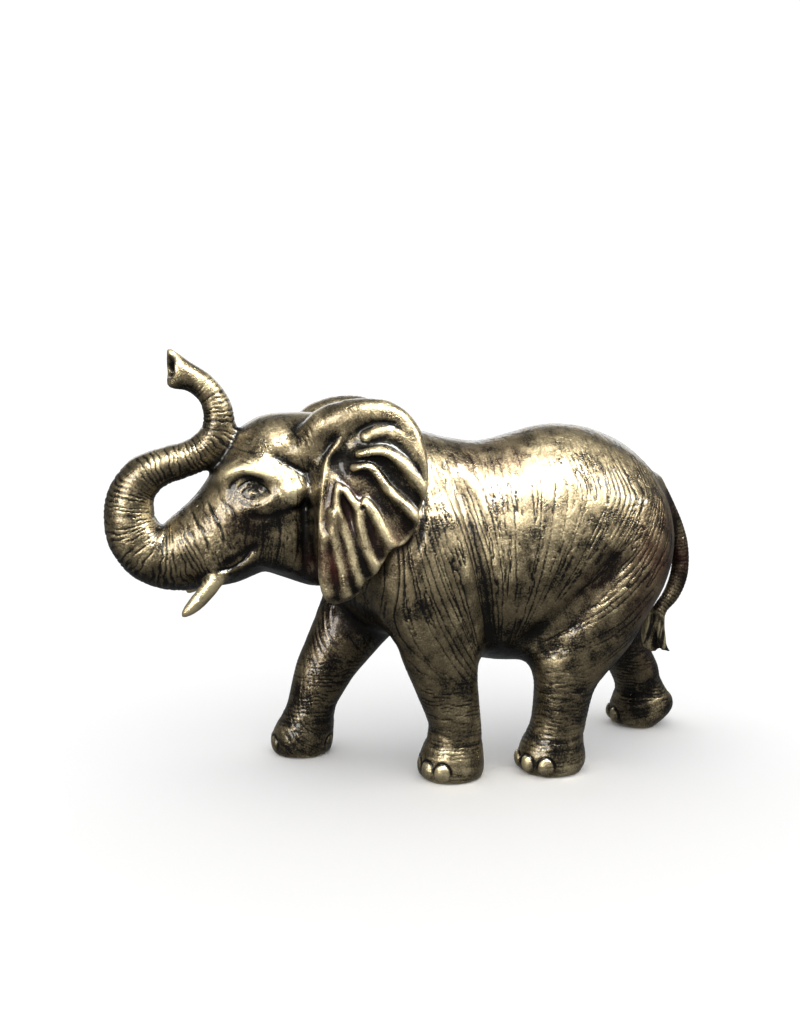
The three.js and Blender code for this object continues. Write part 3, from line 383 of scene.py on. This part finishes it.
def regions(points, normals):
    """Soft masks, 0..1, of the named regions, and the lengths along the trunk and the tail."""
    x, y, z = points.T
    xz = points[:, [0, 2]]
    trunk_gap, trunk_along, trunk_radius, trunk_length = nearest_on_line(xz, smooth_line(TRUNK))
    reach = np.hypot(trunk_gap, y) / trunk_radius[:, 0]
    trunk = smoothstep(-reach, -1.5, -1.25) * smoothstep(trunk_along, 12.0, 26.0)
    tail_gap, tail_along, tail_radius, _ = nearest_on_line(xz, smooth_line(TAIL))
    tail = smoothstep(-np.hypot(tail_gap, y + 3) / tail_radius[:, 0], -1.9, -1.5) * smoothstep(tail_along, 4.0, 12.0)
    tail = tail * smoothstep(x, 165.0, 172.0)
    ear_gap = inside_outline(xz, EAR_RIM)
    ear_plane = 45.5 + 14.0 * smoothstep(x, -84.3, -10.3)
    ear = smoothstep(-ear_gap, -3.0, 0.5) * smoothstep(np.abs(y) - ear_plane, -9.0, -5.0)
    tusk = np.zeros(len(x))
    for _, root, tip in TUSKS:
        root, tip = np.array(root), np.array(tip)
        along = np.clip((points - root) @ (tip - root) / np.sum((tip - root) ** 2), -0.2, 1.1)
        gap = np.linalg.norm(points - root - along[:, None] * (tip - root), axis=1)
        tusk = np.maximum(tusk, smoothstep(-gap, -9.0, -7.0) * smoothstep(along, -0.12, 0.12))
    head = smoothstep(-x, 70.0, 82.0) * smoothstep(z, 118.0, 130.0) * (1 - ear) * (1 - trunk)
    leg = smoothstep(-z, -110.0, -66.0) * (1 - tail)
    side = smoothstep(np.abs(normals[:, 1]), 0.25, 0.6)
    return {
        "trunk": trunk, "trunk_along": trunk_along, "trunk_length": trunk_length, "tail": tail,
        "tail_along": tail_along, "ear": ear, "ear_gap": ear_gap, "tusk": tusk, "head": head, "leg": leg,
        "side": side,
    }


def nail_places():
    """Middle of each toenail and the way it faces."""
    for side, (mx, my), (rx, ry), bearings in FEET:
        for degrees in bearings:
            a = math.radians(degrees)
            x, y = mx - rx * math.cos(a), side * (my + ry * math.sin(a))
            out = np.array([-math.cos(a), side * math.sin(a), 0.0])
            yield np.array([x, y, NAIL_HEIGHT]), out


# ---- Relief --------------------------------------------------------------------------------------------------

def relief(points, normals, size):
    """Height of the chased relief at each point, in millimetres, and the masks that the patina uses."""
    x, y, z = points.T
    xz = points[:, [0, 2]]
    area = regions(points, normals)
    bare = 1 - area["tusk"]
    height = np.zeros(len(x))
    cuts = np.zeros(len(x))

    def carve(amount, depth):
        nonlocal height, cuts
        height -= amount * depth
        cuts = np.maximum(cuts, np.clip(amount, 0, 1) * min(1.0, depth / 0.4))

    # Flanks, thighs and shoulders.
    body = (1 - area["ear"]) * (1 - area["head"]) * (1 - area["trunk"]) * (1 - area["tail"]) * bare
    lines, ticks = body_grooves(points, size)
    depth = size.groove_depth * 1000
    high = smoothstep(-z, -232.0, -196.0)
    uneven = 0.65 + 0.35 * smoothstep(lattice_noise(points, (15, 15, 15), 5), -0.3, 0.4)
    strength = body * area["side"] * (1 - 0.5 * area["leg"]) * uneven
    carve(strength * lines * (0.25 + 0.75 * high), depth)
    carve(strength * ticks, 0.8 * depth)
    hatch = cut(lattice_noise(points + 2.0 * lattice_noise(points, (8, 8, 8), 7)[:, None], (2.4, 9, 6), 17) * 1.8, 0.3)
    carve(body * hatch * smoothstep(z, 185.0, 215.0), 0.16)

    # Breast, belly and the fronts of the legs.
    loose = body * (1 - area["side"]) * (1 - area["leg"])
    web = cut(lattice_noise(points, (6, 9, 9), 31) * 4, 0.35) + cut(lattice_noise(points, (9, 5, 7), 37) * 4, 0.35)
    carve(loose * np.minimum(web, 1.0), 0.25)

    # Lower legs: close level wrinkles.
    wander = 1.6 * lattice_noise(points, (8, 8, 8), 41)
    gap = (z + wander) % 2.7 - 1.35
    ankle = smoothstep(-z, -88.0, -58.0) * smoothstep(z, 17.0, 22.0) * body
    broken = smoothstep(lattice_noise(points, (7, 7, 3), 43), -0.35, 0.25)
    carve(ankle * cut(gap, 0.36) * broken, 0.38)
    collar = np.exp(-((z - 26.0 - 1.5 * lattice_noise(points, (12, 12, 12), 45)) / 2.2) ** 2)
    height -= 0.4 * collar * area["leg"]
    tops = smoothstep(z, 12.0, 15.0) * smoothstep(-z, -25.0, -22.0) * body
    creased = lattice_noise(points + 2.0 * lattice_noise(points, (6, 6, 6), 46)[:, None], (5, 5, 2.2), 48)
    carve(tops * cut(creased * 2.4, 0.3), 0.16)

    # Trunk: close rings, some of them broken or forked.
    along = area["trunk_along"]
    spacing = size.ring_spacing * 1000
    turn = along / spacing + 0.55 * lattice_noise(points, (7, 7, 7), 47) + 0.25 * lattice_noise(points, (3.5, 3.5, 3.5), 49)
    gap = (turn - np.round(turn)) * spacing
    ring = np.round(turn)
    broken = smoothstep(lattice_noise(np.column_stack([ring * 7.1, y * 0.5, x * 0.3 + z * 0.3]), (5, 5, 5), 53), -0.55, 0.05)
    fade = 1 - smoothstep(along, area["trunk_length"] - 30.0, area["trunk_length"] - 8.0)
    carve(area["trunk"] * fade * cut(gap, 0.42) * (0.3 + 0.7 * broken), size.ring_depth * 1000)
    height += area["trunk"] * fade * 0.3 * lattice_noise(np.column_stack([along, y * 0.2, z * 0]), (5.5, 9, 9), 59)

    # Face: fine creases, and the modelled lines of eye, brow, cheek and mouth.
    face = area["head"] * (1 - area["ear"]) * area["side"]
    sheet = GrooveSheet(FACE_FLOW, (-170.0, 120.0), (-60.0, 260.0), 61)
    creases = cut(sheet.read(sheet.drawn_along(0.0, 3.4, 9.0), sheet.CELL, x, z), 0.36)
    eye = np.exp(-(((x + 119) / 20) ** 2 + ((z - 200) / 14) ** 2) ** 2)
    patchy = smoothstep(lattice_noise(points, (10, 10, 10), 63), -0.3, 0.3)
    carve(face * creases * (1 - eye) * (0.35 + 0.65 * patchy), 0.3)
    grain = lattice_noise(points + 1.2 * lattice_noise(points, (4, 4, 4), 65)[:, None], (1.9, 1.9, 1.9), 67)
    root = smoothstep(-x, 108.0, 135.0) * smoothstep(-z, -192.0, -178.0) * area["head"]
    carve(np.maximum(root, 0.5 * area["head"] * (1 - eye)) * cut(grain * 2.2, 0.35), 0.22)
    for rise, width, line in DRAWN.values():
        curve = smooth_line(line)
        low, high = curve.min(0) - 3.2 * width, curve.max(0) + 3.2 * width
        near = ((xz > low) & (xz < high)).all(1) & (np.abs(y) > 8)
        gap, length, _, total = nearest_on_line(xz[near], curve)
        taper = smoothstep(length, 0.0, 0.16 * total) * smoothstep(total - length, 0.0, 0.16 * total)
        line_height = rise * np.exp(-(gap / width) ** 2) * (0.2 + 0.8 * taper) * (1 - area["ear"][near]) * bare[near]
        height[near] += line_height
        if width < 1.3:
            cuts[near] = np.maximum(cuts[near], np.clip(-line_height / 0.6, 0, 1))

    # Ears: fluted between the ribs, with fine creases along them.
    fan = area["ear"] * smoothstep(-area["ear_gap"], 0.5, 4.0)
    rib_gap = np.full(len(x), 1e9)
    near = area["ear"] > 0
    for rib in EAR_RIBS:
        rib_gap[near] = np.minimum(rib_gap[near], nearest_on_line(xz[near], smooth_line(rib, 5))[0])
    outward = smoothstep(np.hypot(x + 60.3, z - 214.0), 8.0, 46.0)
    height += fan * (0.35 * np.exp(-(rib_gap / 2.2) ** 2) - 0.9 * smoothstep(rib_gap, 2.0, 3.2 + 3.2 * outward))
    sheet = GrooveSheet(EAR_RIBS, (-95.0, 115.0), (5.0, 262.0), 71)
    creases = cut(sheet.read(sheet.drawn_along(0.0, 3.0, 12.0), sheet.CELL, x, z), 0.34)
    carve(fan * creases * (0.3 + 0.7 * patchy), 0.22)
    dimple = np.exp(-((x + 50.3) ** 2 + (z - 191.0) ** 2) / 1.9 ** 2)
    carve(area["ear"] * dimple, 1.1)

    # Tail: rings, then long strands in the tuft.
    turn = area["tail_along"] / 2.6 + 0.4 * lattice_noise(points, (6, 6, 6), 73)
    tuft = smoothstep(area["tail_along"], 104.0, 114.0)
    carve(area["tail"] * (1 - tuft) * cut((turn - np.round(turn)) * 2.6, 0.4), 0.3)
    strands = lattice_noise(np.column_stack([x - 0.2 * z, y, z * 0.06]), (2.6, 2.6, 3.0), 79)
    carve(area["tail"] * tuft * cut(strands * 2.5, 0.5), 0.6)

    # Toenails stand out of a cuticle.
    nail, cuticle = np.zeros(len(x)), np.zeros(len(x))
    foot = z < 26
    for middle, out in nail_places():
        offset = points[foot] - middle
        across = offset @ np.array([-out[1], out[0], 0.0])
        front = offset @ out
        around = np.hypot(across / 5.6, (offset[:, 2] + 0.5) / 6.2)
        here = smoothstep(front, -3.5, 0.5)
        nail[foot] = np.maximum(nail[foot], here * smoothstep(-around, -1.05, -0.85))
        edge = here * np.exp(-((around - 1.12) / 0.13) ** 2) * smoothstep(offset[:, 2], -3.0, 1.5)
        cuticle[foot] = np.maximum(cuticle[foot], edge)
    height += 0.3 * nail - 0.9 * cuticle
    cuts = np.maximum(cuts * (1 - nail), cuticle)
    sole = smoothstep(z, 0.3, 3.0)
    return height * sole, {**area, "nail": nail * sole, "cuticle": cuticle * sole, "cuts": cuts * sole * bare}


# ---- The piece -----------------------------------------------------------------------------------------------

def apply_modifiers(obj):
    depsgraph = bpy.context.evaluated_depsgraph_get()
    mesh = bpy.data.meshes.new_from_object(obj.evaluated_get(depsgraph), depsgraph=depsgraph)
    obj.modifiers.clear()
    obj.data = mesh


def add_modifier(obj, kind, **values):
    modifier = obj.modifiers.new(kind.title(), kind)
    for key, value in values.items():
        setattr(modifier, key, value)
    return modifier


def smooth_skin(node, name, voxel):
    """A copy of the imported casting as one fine, even skin."""
    bm = bmesh.new()
    bm.from_mesh(node.data)
    bmesh.ops.remove_doubles(bm, verts=bm.verts, dist=0.02 * MM)
    mesh = bpy.data.meshes.new(name)
    bm.to_mesh(mesh)
    bm.free()
    skin = bpy.data.objects.new(name, mesh)
    bpy.context.scene.collection.objects.link(skin)
    add_modifier(skin, "SUBSURF", levels=2, render_levels=2)
    add_modifier(skin, "REMESH", mode="VOXEL", voxel_size=voxel)
    add_modifier(skin, "SMOOTH", factor=0.5, iterations=6)
    apply_modifiers(skin)
    return skin


def read(mesh, what):
    values = np.empty(len(mesh.vertices) * 3, np.float32)
    (mesh.vertices if what == "co" else mesh.vertex_normals).foreach_get("co" if what == "co" else "vector", values)
    return values.reshape(-1, 3).astype(float)


def store(mesh, name, values):
    layer = mesh.attributes.new(name, "FLOAT", "POINT")
    layer.data.foreach_set("value", np.asarray(values, np.float32))


def broad_form(skin, iterations):
    """Where the skin's points go when its small forms are smoothed away."""
    modifier = add_modifier(skin, "SMOOTH", factor=0.7, iterations=iterations)
    depsgraph = bpy.context.evaluated_depsgraph_get()
    evaluated = skin.evaluated_get(depsgraph)
    values = np.empty(len(evaluated.data.vertices) * 3, np.float32)
    evaluated.data.vertices.foreach_get("co", values)
    skin.modifiers.remove(modifier)
    return values.reshape(-1, 3).astype(float)


def wash(points, spots):
    """Strength of tints laid on at named places of the side view."""
    total = np.zeros(len(points))
    for x, z, reach, strength in spots:
        total = np.maximum(total, strength * np.exp(-((points[:, 0] - x) ** 2 + (points[:, 2] - z) ** 2) / reach ** 2))
    return total


def chase(skin, size):
    """Presses the relief into the skin, notes where the patina stays and where it's rubbed off, and where shade is
    painted into the colour.
    """
    mesh = skin.data
    points, normals = read(mesh, "co"), read(mesh, "normal")
    height, area = relief(points / MM, normals, size)
    mesh.vertices.foreach_set("co", (points + normals * (height * MM)[:, None]).astype(np.float32).ravel())
    mesh.update()
    broad = broad_form(skin, 40)
    bulge = np.einsum("ij,ij->i", read(mesh, "co") - broad, normals) / MM
    points /= MM
    store(mesh, "bulge", np.clip(0.5 + 0.5 * bulge / 1.2, 0, 1))
    store(mesh, "cuts", area["cuts"])
    mottle = 0.6 + 0.4 * lattice_noise(points, (14, 14, 14), 83) + 0.25 * lattice_noise(points, (5, 5, 5), 89)
    metal = np.maximum.reduce([area["tusk"] * (0.7 + 0.25 * mottle), area["nail"] * 0.3, wash(points, GOLD_WASH) * mottle])
    store(mesh, "gold", np.clip(metal * (1 - 0.9 * area["cuticle"]), 0, 1))
    store(mesh, "red", np.clip(wash(points, RED_WASH) * mottle * (1 - area["tusk"]), 0, 1))
    # Painted shade: faces turned downwards above the feet, and the sides of the lower body turned towards the other
    # legs, are darkened as if in shadow.
    under = smoothstep(-normals[:, 2], 0.1, 0.9) * smoothstep(points[:, 2], 30.0, 60.0)
    leg_gap_shade = smoothstep(-normals[:, 1] * np.sign(points[:, 1]), 0.1, 0.7) * smoothstep(-points[:, 2], -150.0, -100.0)
    # Painted shade at the listed spots, and a darker tail above the tuft; the shade attribute darkens the patina with
    # all of it.
    dark = wash(points, PAINTED_SHADE_SPOTS) * (0.75 + 0.5 * lattice_noise(points, (9, 9, 9), 97))
    tail = 0.9 * area["tail"] * smoothstep(points[:, 2], 92.0, 108.0)
    store(mesh, "shade", np.clip(np.maximum.reduce([under, 0.5 * leg_gap_shade, area["cuticle"], dark, tail]), 0, 1.3))


# ---- Materials -----------------------------------------------------------------------------------------------

class Nodes:
    """Places nodes in a tree from left to right and joins them."""

    def __init__(self, tree):
        self.tree = tree
        self.count = 0

    def add(self, kind, **values):
        node = self.tree.nodes.new(kind)
        node.location = (220 * self.count, -140 * (self.count % 3))
        self.count += 1
        inputs = {}
        for key, value in values.items():
            if hasattr(node, key):
                setattr(node, key, value)
            else:
                inputs[key] = value
        for key, value in inputs.items():
            socket = node.inputs[int(key[1:])] if key[0] == "i" and key[1:].isdigit() else node.inputs[key.replace("_", " ")]
            if isinstance(value, bpy.types.NodeSocket):
                self.tree.links.new(value, socket)
            else:
                socket.default_value = value
        return node

    def math(self, operation, a, b=0.0, clamp=False):
        return self.add("ShaderNodeMath", operation=operation, use_clamp=clamp, i0=a, i1=b).outputs[0]

    def mix(self, share, a, b):
        node = self.tree.nodes.new("ShaderNodeMix")
        node.data_type = "RGBA"
        node.location = (220 * self.count, 100)
        self.count += 1
        for socket, value in ((node.inputs[0], share), (node.inputs[6], a), (node.inputs[7], b)):
            if isinstance(value, bpy.types.NodeSocket):
                self.tree.links.new(value, socket)
            else:
                socket.default_value = value
        return node.outputs[2]

    def ramp(self, value, low, high, smooth=True):
        node = self.add("ShaderNodeMapRange", interpolation_type="SMOOTHSTEP" if smooth else "LINEAR", Value=value)
        node.inputs["From Min"].default_value = low
        node.inputs["From Max"].default_value = high
        return node.outputs[0]

    def attribute(self, name):
        return self.add("ShaderNodeAttribute", attribute_type="GEOMETRY", attribute_name=name).outputs["Fac"]


def patina_wear_group():
    """Speckle and cloud masks, and a fine hatch height, for hand-rubbed bronze."""
    group = bpy.data.node_groups.new("rubbed_patina", "ShaderNodeTree")
    for name, kind, default in (("Speck Size", "NodeSocketFloat", 900.0), ("Cloud Size", "NodeSocketFloat", 60.0)):
        socket = group.interface.new_socket(name, in_out="INPUT", socket_type=kind)
        socket.default_value = default
    for name in ("Speck", "Cloud", "Hatch"):
        group.interface.new_socket(name, in_out="OUTPUT", socket_type="NodeSocketFloat")
    n = Nodes(group)
    given = n.add("NodeGroupInput")
    place = n.add("ShaderNodeTexCoord").outputs["Object"]
    speck = n.add("ShaderNodeTexNoise", Vector=place, Scale=given.outputs["Speck Size"], Detail=3.0, Roughness=0.6)
    cloud = n.add("ShaderNodeTexNoise", Vector=place, Scale=given.outputs["Cloud Size"], Detail=4.0, Roughness=0.62)
    cells = n.add("ShaderNodeTexVoronoi", Vector=place, Scale=520.0, feature="DISTANCE_TO_EDGE")
    scratches = n.add("ShaderNodeTexNoise", Vector=place, Scale=420.0, Detail=2.0, Distortion=1.2)
    hatch = n.math("ADD", n.math("MULTIPLY", n.ramp(cells.outputs["Distance"], 0.0, 0.12), 0.6),
                   n.math("MULTIPLY", scratches.outputs[0], 0.8))
    out = n.add("NodeGroupOutput")
    group.links.new(n.ramp(speck.outputs[0], 0.38, 0.68), out.inputs["Speck"])
    group.links.new(n.ramp(cloud.outputs[0], 0.36, 0.64), out.inputs["Cloud"])
    group.links.new(hatch, out.inputs["Hatch"])
    return group


def bronze_material(look):
    """Dark patina in the cuts, warm bronze on the hide, brass where it's rubbed, painted shade on undersides and in
    hollows, under clear lacquer.
    """
    material = bpy.data.materials.new("patinated_bronze")
    material.use_nodes = True
    material.node_tree.nodes.clear()
    n = Nodes(material.node_tree)
    wear = n.add("ShaderNodeGroup", node_tree=patina_wear_group())
    speck, cloud, hatch = (wear.outputs[name] for name in ("Speck", "Cloud", "Hatch"))
    bulge, cuts, gold, red, shade = (n.attribute(name) for name in ("bulge", "cuts", "gold", "red", "shade"))
    level = n.math("ADD", bulge, n.math("MULTIPLY", n.math("SUBTRACT", speck, 0.5), 0.12))
    level = n.math("ADD", level, n.math("MULTIPLY", n.math("SUBTRACT", cloud, 0.5), 0.14))
    # Painted shade: the shade attribute pulls the patina darker.
    level = n.math("SUBTRACT", level, n.math("MULTIPLY", shade, 0.22))
    hide = n.ramp(level, 0.34, 0.56)
    rubbed = n.ramp(n.math("ADD", level, n.math("MULTIPLY", gold, 0.22)), 0.56, 0.82)
    colour = n.mix(hide, (*look.patina, 1), (*look.bronze, 1))
    colour = n.mix(n.math("MULTIPLY", red, 0.75), colour, (*look.oxide, 1))
    colour = n.mix(rubbed, colour, (*look.brass, 1))
    colour = n.mix(n.ramp(gold, 0.72, 0.95), colour, (*look.brass, 1))
    colour = n.mix(n.math("MULTIPLY", n.ramp(cuts, 0.2, 0.8), 0.9), colour, (*look.patina, 1))
    rough = n.math("ADD", n.math("MULTIPLY", cloud, 0.12), look.roughness)
    bump = n.add("ShaderNodeBump", Strength=0.35, Distance=0.0003, Height=hatch)
    shader = n.add("ShaderNodeBsdfPrincipled", Base_Color=colour, Roughness=rough, Normal=bump.outputs[0])
    shader.inputs["Metallic"].default_value = 0.92
    shader.inputs["Coat Weight"].default_value = 0.35
    shader.inputs["Coat Roughness"].default_value = 0.09
    out = n.add("ShaderNodeOutputMaterial")
    material.node_tree.links.new(shader.outputs[0], out.inputs[0])
    return material


def plain_material(name, colour, roughness):
    material = bpy.data.materials.new(name)
    material.use_nodes = True
    shader = material.node_tree.nodes["Principled BSDF"]
    shader.inputs["Base Color"].default_value = (*colour, 1)
    shader.inputs["Roughness"].default_value = roughness
    shader.inputs["Specular IOR Level"].default_value = 0.0
    return material


# ---- Settings ------------------------------------------------------------------------------------------------

class ElephantSize(bpy.types.PropertyGroup):
    """Sizes of the chased relief."""

    voxel: bpy.props.FloatProperty(
        name="Skin Cell", description="Cell of the fine skin", default=0.00085, subtype="DISTANCE", precision=5)
    faces: bpy.props.IntProperty(
        name="Skin Faces", description="Triangles kept in the finished skin", default=196000, min=20000, max=199000)
    groove_width: bpy.props.FloatProperty(
        name="Groove Width", description="Half width of a chased groove", default=0.00044, subtype="DISTANCE",
        precision=5)
    groove_depth: bpy.props.FloatProperty(
        name="Groove Depth", description="Depth of a chased groove", default=0.0006, subtype="DISTANCE", precision=5)
    groove_spacing: bpy.props.FloatProperty(
        name="Groove Spacing", description="Usual distance between grooves of the flank", default=0.0042,
        subtype="DISTANCE", precision=5)
    tick_spacing: bpy.props.FloatProperty(
        name="Tick Spacing", description="Usual distance between ticks along a groove", default=0.0042,
        subtype="DISTANCE", precision=5)
    ring_spacing: bpy.props.FloatProperty(
        name="Ring Spacing", description="Usual distance between rings of the trunk", default=0.003,
        subtype="DISTANCE", precision=5)
    ring_depth: bpy.props.FloatProperty(
        name="Ring Depth", description="Depth of a ring of the trunk", default=0.00055, subtype="DISTANCE", precision=5)


class ElephantLook(bpy.types.PropertyGroup):
    """Colours of the patina."""

    patina: bpy.props.FloatVectorProperty(
        name="Patina", description="Dark colour in the cuts", size=3, subtype="COLOR", default=(0.012, 0.011, 0.009))
    bronze: bpy.props.FloatVectorProperty(
        name="Bronze", description="Colour of the hide", size=3, subtype="COLOR", default=(0.17, 0.135, 0.078))
    oxide: bpy.props.FloatVectorProperty(
        name="Oxide", description="Red-brown tint", size=3, subtype="COLOR", default=(0.085, 0.022, 0.016))
    brass: bpy.props.FloatVectorProperty(
        name="Brass", description="Colour of rubbed metal", size=3, subtype="COLOR", default=(0.56, 0.47, 0.28))
    roughness: bpy.props.FloatProperty(
        name="Roughness", description="Roughness of the metal", default=0.27, min=0, max=1, subtype="FACTOR")


class ElephantStudio(bpy.types.PropertyGroup):
    """Where the camera stands and how it looks."""

    eye: bpy.props.FloatVectorProperty(
        name="Camera Place", description="Where the camera stands", size=3, subtype="TRANSLATION",
        default=(-0.1612, -0.75585, 0.28))
    yaw: bpy.props.FloatProperty(
        name="Yaw", description="Turn of the camera towards the tail", default=math.radians(11), subtype="ANGLE")
    pitch: bpy.props.FloatProperty(
        name="Pitch", description="How far the camera looks down", default=math.radians(7.5), subtype="ANGLE")
    lens: bpy.props.FloatProperty(name="Lens", description="Focal length in millimetres", default=38.5)


# ---- Operators -----------------------------------------------------------------------------------------------

class ELEPHANT_OT_casting(bpy.types.Operator):
    """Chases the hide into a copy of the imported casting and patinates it"""

    bl_idname = "elephant.casting"
    bl_label = "Casting"

    def execute(self, context):
        size = context.scene.elephant_size
        skin = smooth_skin(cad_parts["elephant"], CAST_NAME, size.voxel)
        chase(skin, size)
        add_modifier(skin, "TRIANGULATE")
        apply_modifiers(skin)
        add_modifier(skin, "DECIMATE", ratio=min(1.0, size.faces / len(skin.data.polygons)))
        apply_modifiers(skin)
        skin.data.name = CAST_NAME
        skin.data.polygons.foreach_set("use_smooth", [True] * len(skin.data.polygons))
        skin.data.materials.clear()
        skin.data.materials.append(bronze_material(context.scene.elephant_look))
        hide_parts("elephant")
        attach(skin, "root")
        return {"FINISHED"}


def sheet(name, corners, material):
    bm = bmesh.new()
    bmesh.ops.create_grid(bm, x_segments=1, y_segments=1, size=0.5)
    for vert, corner in zip(sorted(bm.verts, key=lambda v: (v.co.y, v.co.x)), corners):
        vert.co = corner
    mesh = bpy.data.meshes.new(name)
    bm.to_mesh(mesh)
    bm.free()
    mesh.materials.append(material)
    obj = bpy.data.objects.new(name, mesh)
    bpy.context.scene.collection.objects.link(obj)
    return obj


def softbox(name, place, aim, width, depth, power, colour=(1, 1, 1)):
    light = bpy.data.lights.new(name, "AREA")
    light.shape = "RECTANGLE"
    light.size, light.size_y = width, depth
    light.energy = power
    light.color = colour
    obj = bpy.data.objects.new(name, light)
    obj.location = place
    obj.rotation_euler = (Vector(aim) - Vector(place)).to_track_quat("-Z", "Y").to_euler()
    bpy.context.scene.collection.objects.link(obj)
    return obj


def studio_world():
    """White walls for the eye and the floor, and a dim room for the metal to mirror."""
    world = bpy.data.worlds.new("studio_light")
    world.use_nodes = True
    world.node_tree.nodes.clear()
    n = Nodes(world.node_tree)
    path = n.add("ShaderNodeLightPath")
    white = n.add("ShaderNodeBackground", Color=(1, 1, 1, 1), Strength=1.14)
    dim = n.add("ShaderNodeBackground", Color=(0.95, 0.97, 1, 1), Strength=0.13)
    mix = n.add("ShaderNodeMixShader", i0=path.outputs["Is Glossy Ray"], i1=white.outputs[0], i2=dim.outputs[0])
    out = n.add("ShaderNodeOutputWorld")
    world.node_tree.links.new(mix.outputs[0], out.inputs[0])
    return world


class ELEPHANT_OT_studio(bpy.types.Operator):
    """Sets the pale floor, the soft lights and the camera"""

    bl_idname = "elephant.studio"
    bl_label = "Studio"

    def execute(self, context):
        scene = context.scene
        studio = scene.elephant_studio
        floor = sheet("studio_floor", [(-9, -9, 0), (9, -9, 0), (-9, 9, 0), (9, 9, 0)],
                      plain_material("pale_floor", (0.95, 0.95, 0.95), 0.8))
        floor.visible_glossy = False
        scene.world = studio_world()
        scene.view_settings.view_transform = "Standard"
        middle = (0, 0, 0.15)
        lit = bpy.data.collections.new("lit_by_softboxes")
        lit.objects.link(bpy.data.objects[CAST_NAME])
        for box in (
            softbox("top_softbox", (0.08, -0.56, 1.0), middle, 0.7, 0.26, 41.0, (0.97, 0.99, 1)),
            softbox("tail_softbox", (0.9, -0.55, 0.9), middle, 0.5, 0.3, 14.0, (1, 0.99, 0.95)),
            softbox("front_softbox", (-0.85, -0.75, 0.5), middle, 0.5, 0.5, 12.0, (1, 0.98, 0.94)),
            softbox("back_softbox", (0.25, 1.3, 0.75), middle, 2.2, 0.7, 10.0, (0.94, 0.97, 1)),
        ):
            box.light_linking.receiver_collection = lit
        camera = bpy.data.cameras.new("camera")
        camera.lens = studio.lens
        camera.sensor_width = 36.0
        obj = bpy.data.objects.new("camera", camera)
        obj.location = studio.eye
        forward = Vector((math.sin(studio.yaw) * math.cos(studio.pitch), math.cos(studio.yaw) * math.cos(studio.pitch),
                          -math.sin(studio.pitch)))
        obj.rotation_euler = forward.to_track_quat("-Z", "Y").to_euler()
        scene.collection.objects.link(obj)
        scene.camera = obj
        return {"FINISHED"}


class ELEPHANT_PT_panel(bpy.types.Panel):
    """Sizes, colours and steps of the elephant"""

    bl_label = "Elephant"
    bl_idname = "ELEPHANT_PT_panel"
    bl_space_type = "VIEW_3D"
    bl_region_type = "UI"
    bl_category = "Elephant"

    def draw(self, context):
        scene = context.scene
        for group in (scene.elephant_size, scene.elephant_look, scene.elephant_studio):
            box = self.layout.box()
            for name in group.__annotations__:
                box.prop(group, name)
        for operator in STEPS:
            self.layout.operator(operator.bl_idname)


STEPS = (ELEPHANT_OT_casting, ELEPHANT_OT_studio)
GROUPS = {"elephant_size": ElephantSize, "elephant_look": ElephantLook, "elephant_studio": ElephantStudio}


def register():
    for cls in (*GROUPS.values(), *STEPS, ELEPHANT_PT_panel):
        bpy.utils.register_class(cls)
    for name, cls in GROUPS.items():
        setattr(bpy.types.Scene, name, bpy.props.PointerProperty(type=cls))


def unregister():
    for name in GROUPS:
        delattr(bpy.types.Scene, name)
    for cls in (ELEPHANT_PT_panel, *reversed(STEPS), *reversed(list(GROUPS.values()))):
        bpy.utils.unregister_class(cls)


def main():
    register()
    bpy.ops.elephant.casting()
    bpy.ops.elephant.studio()


if __name__ == "__main__":
    main()
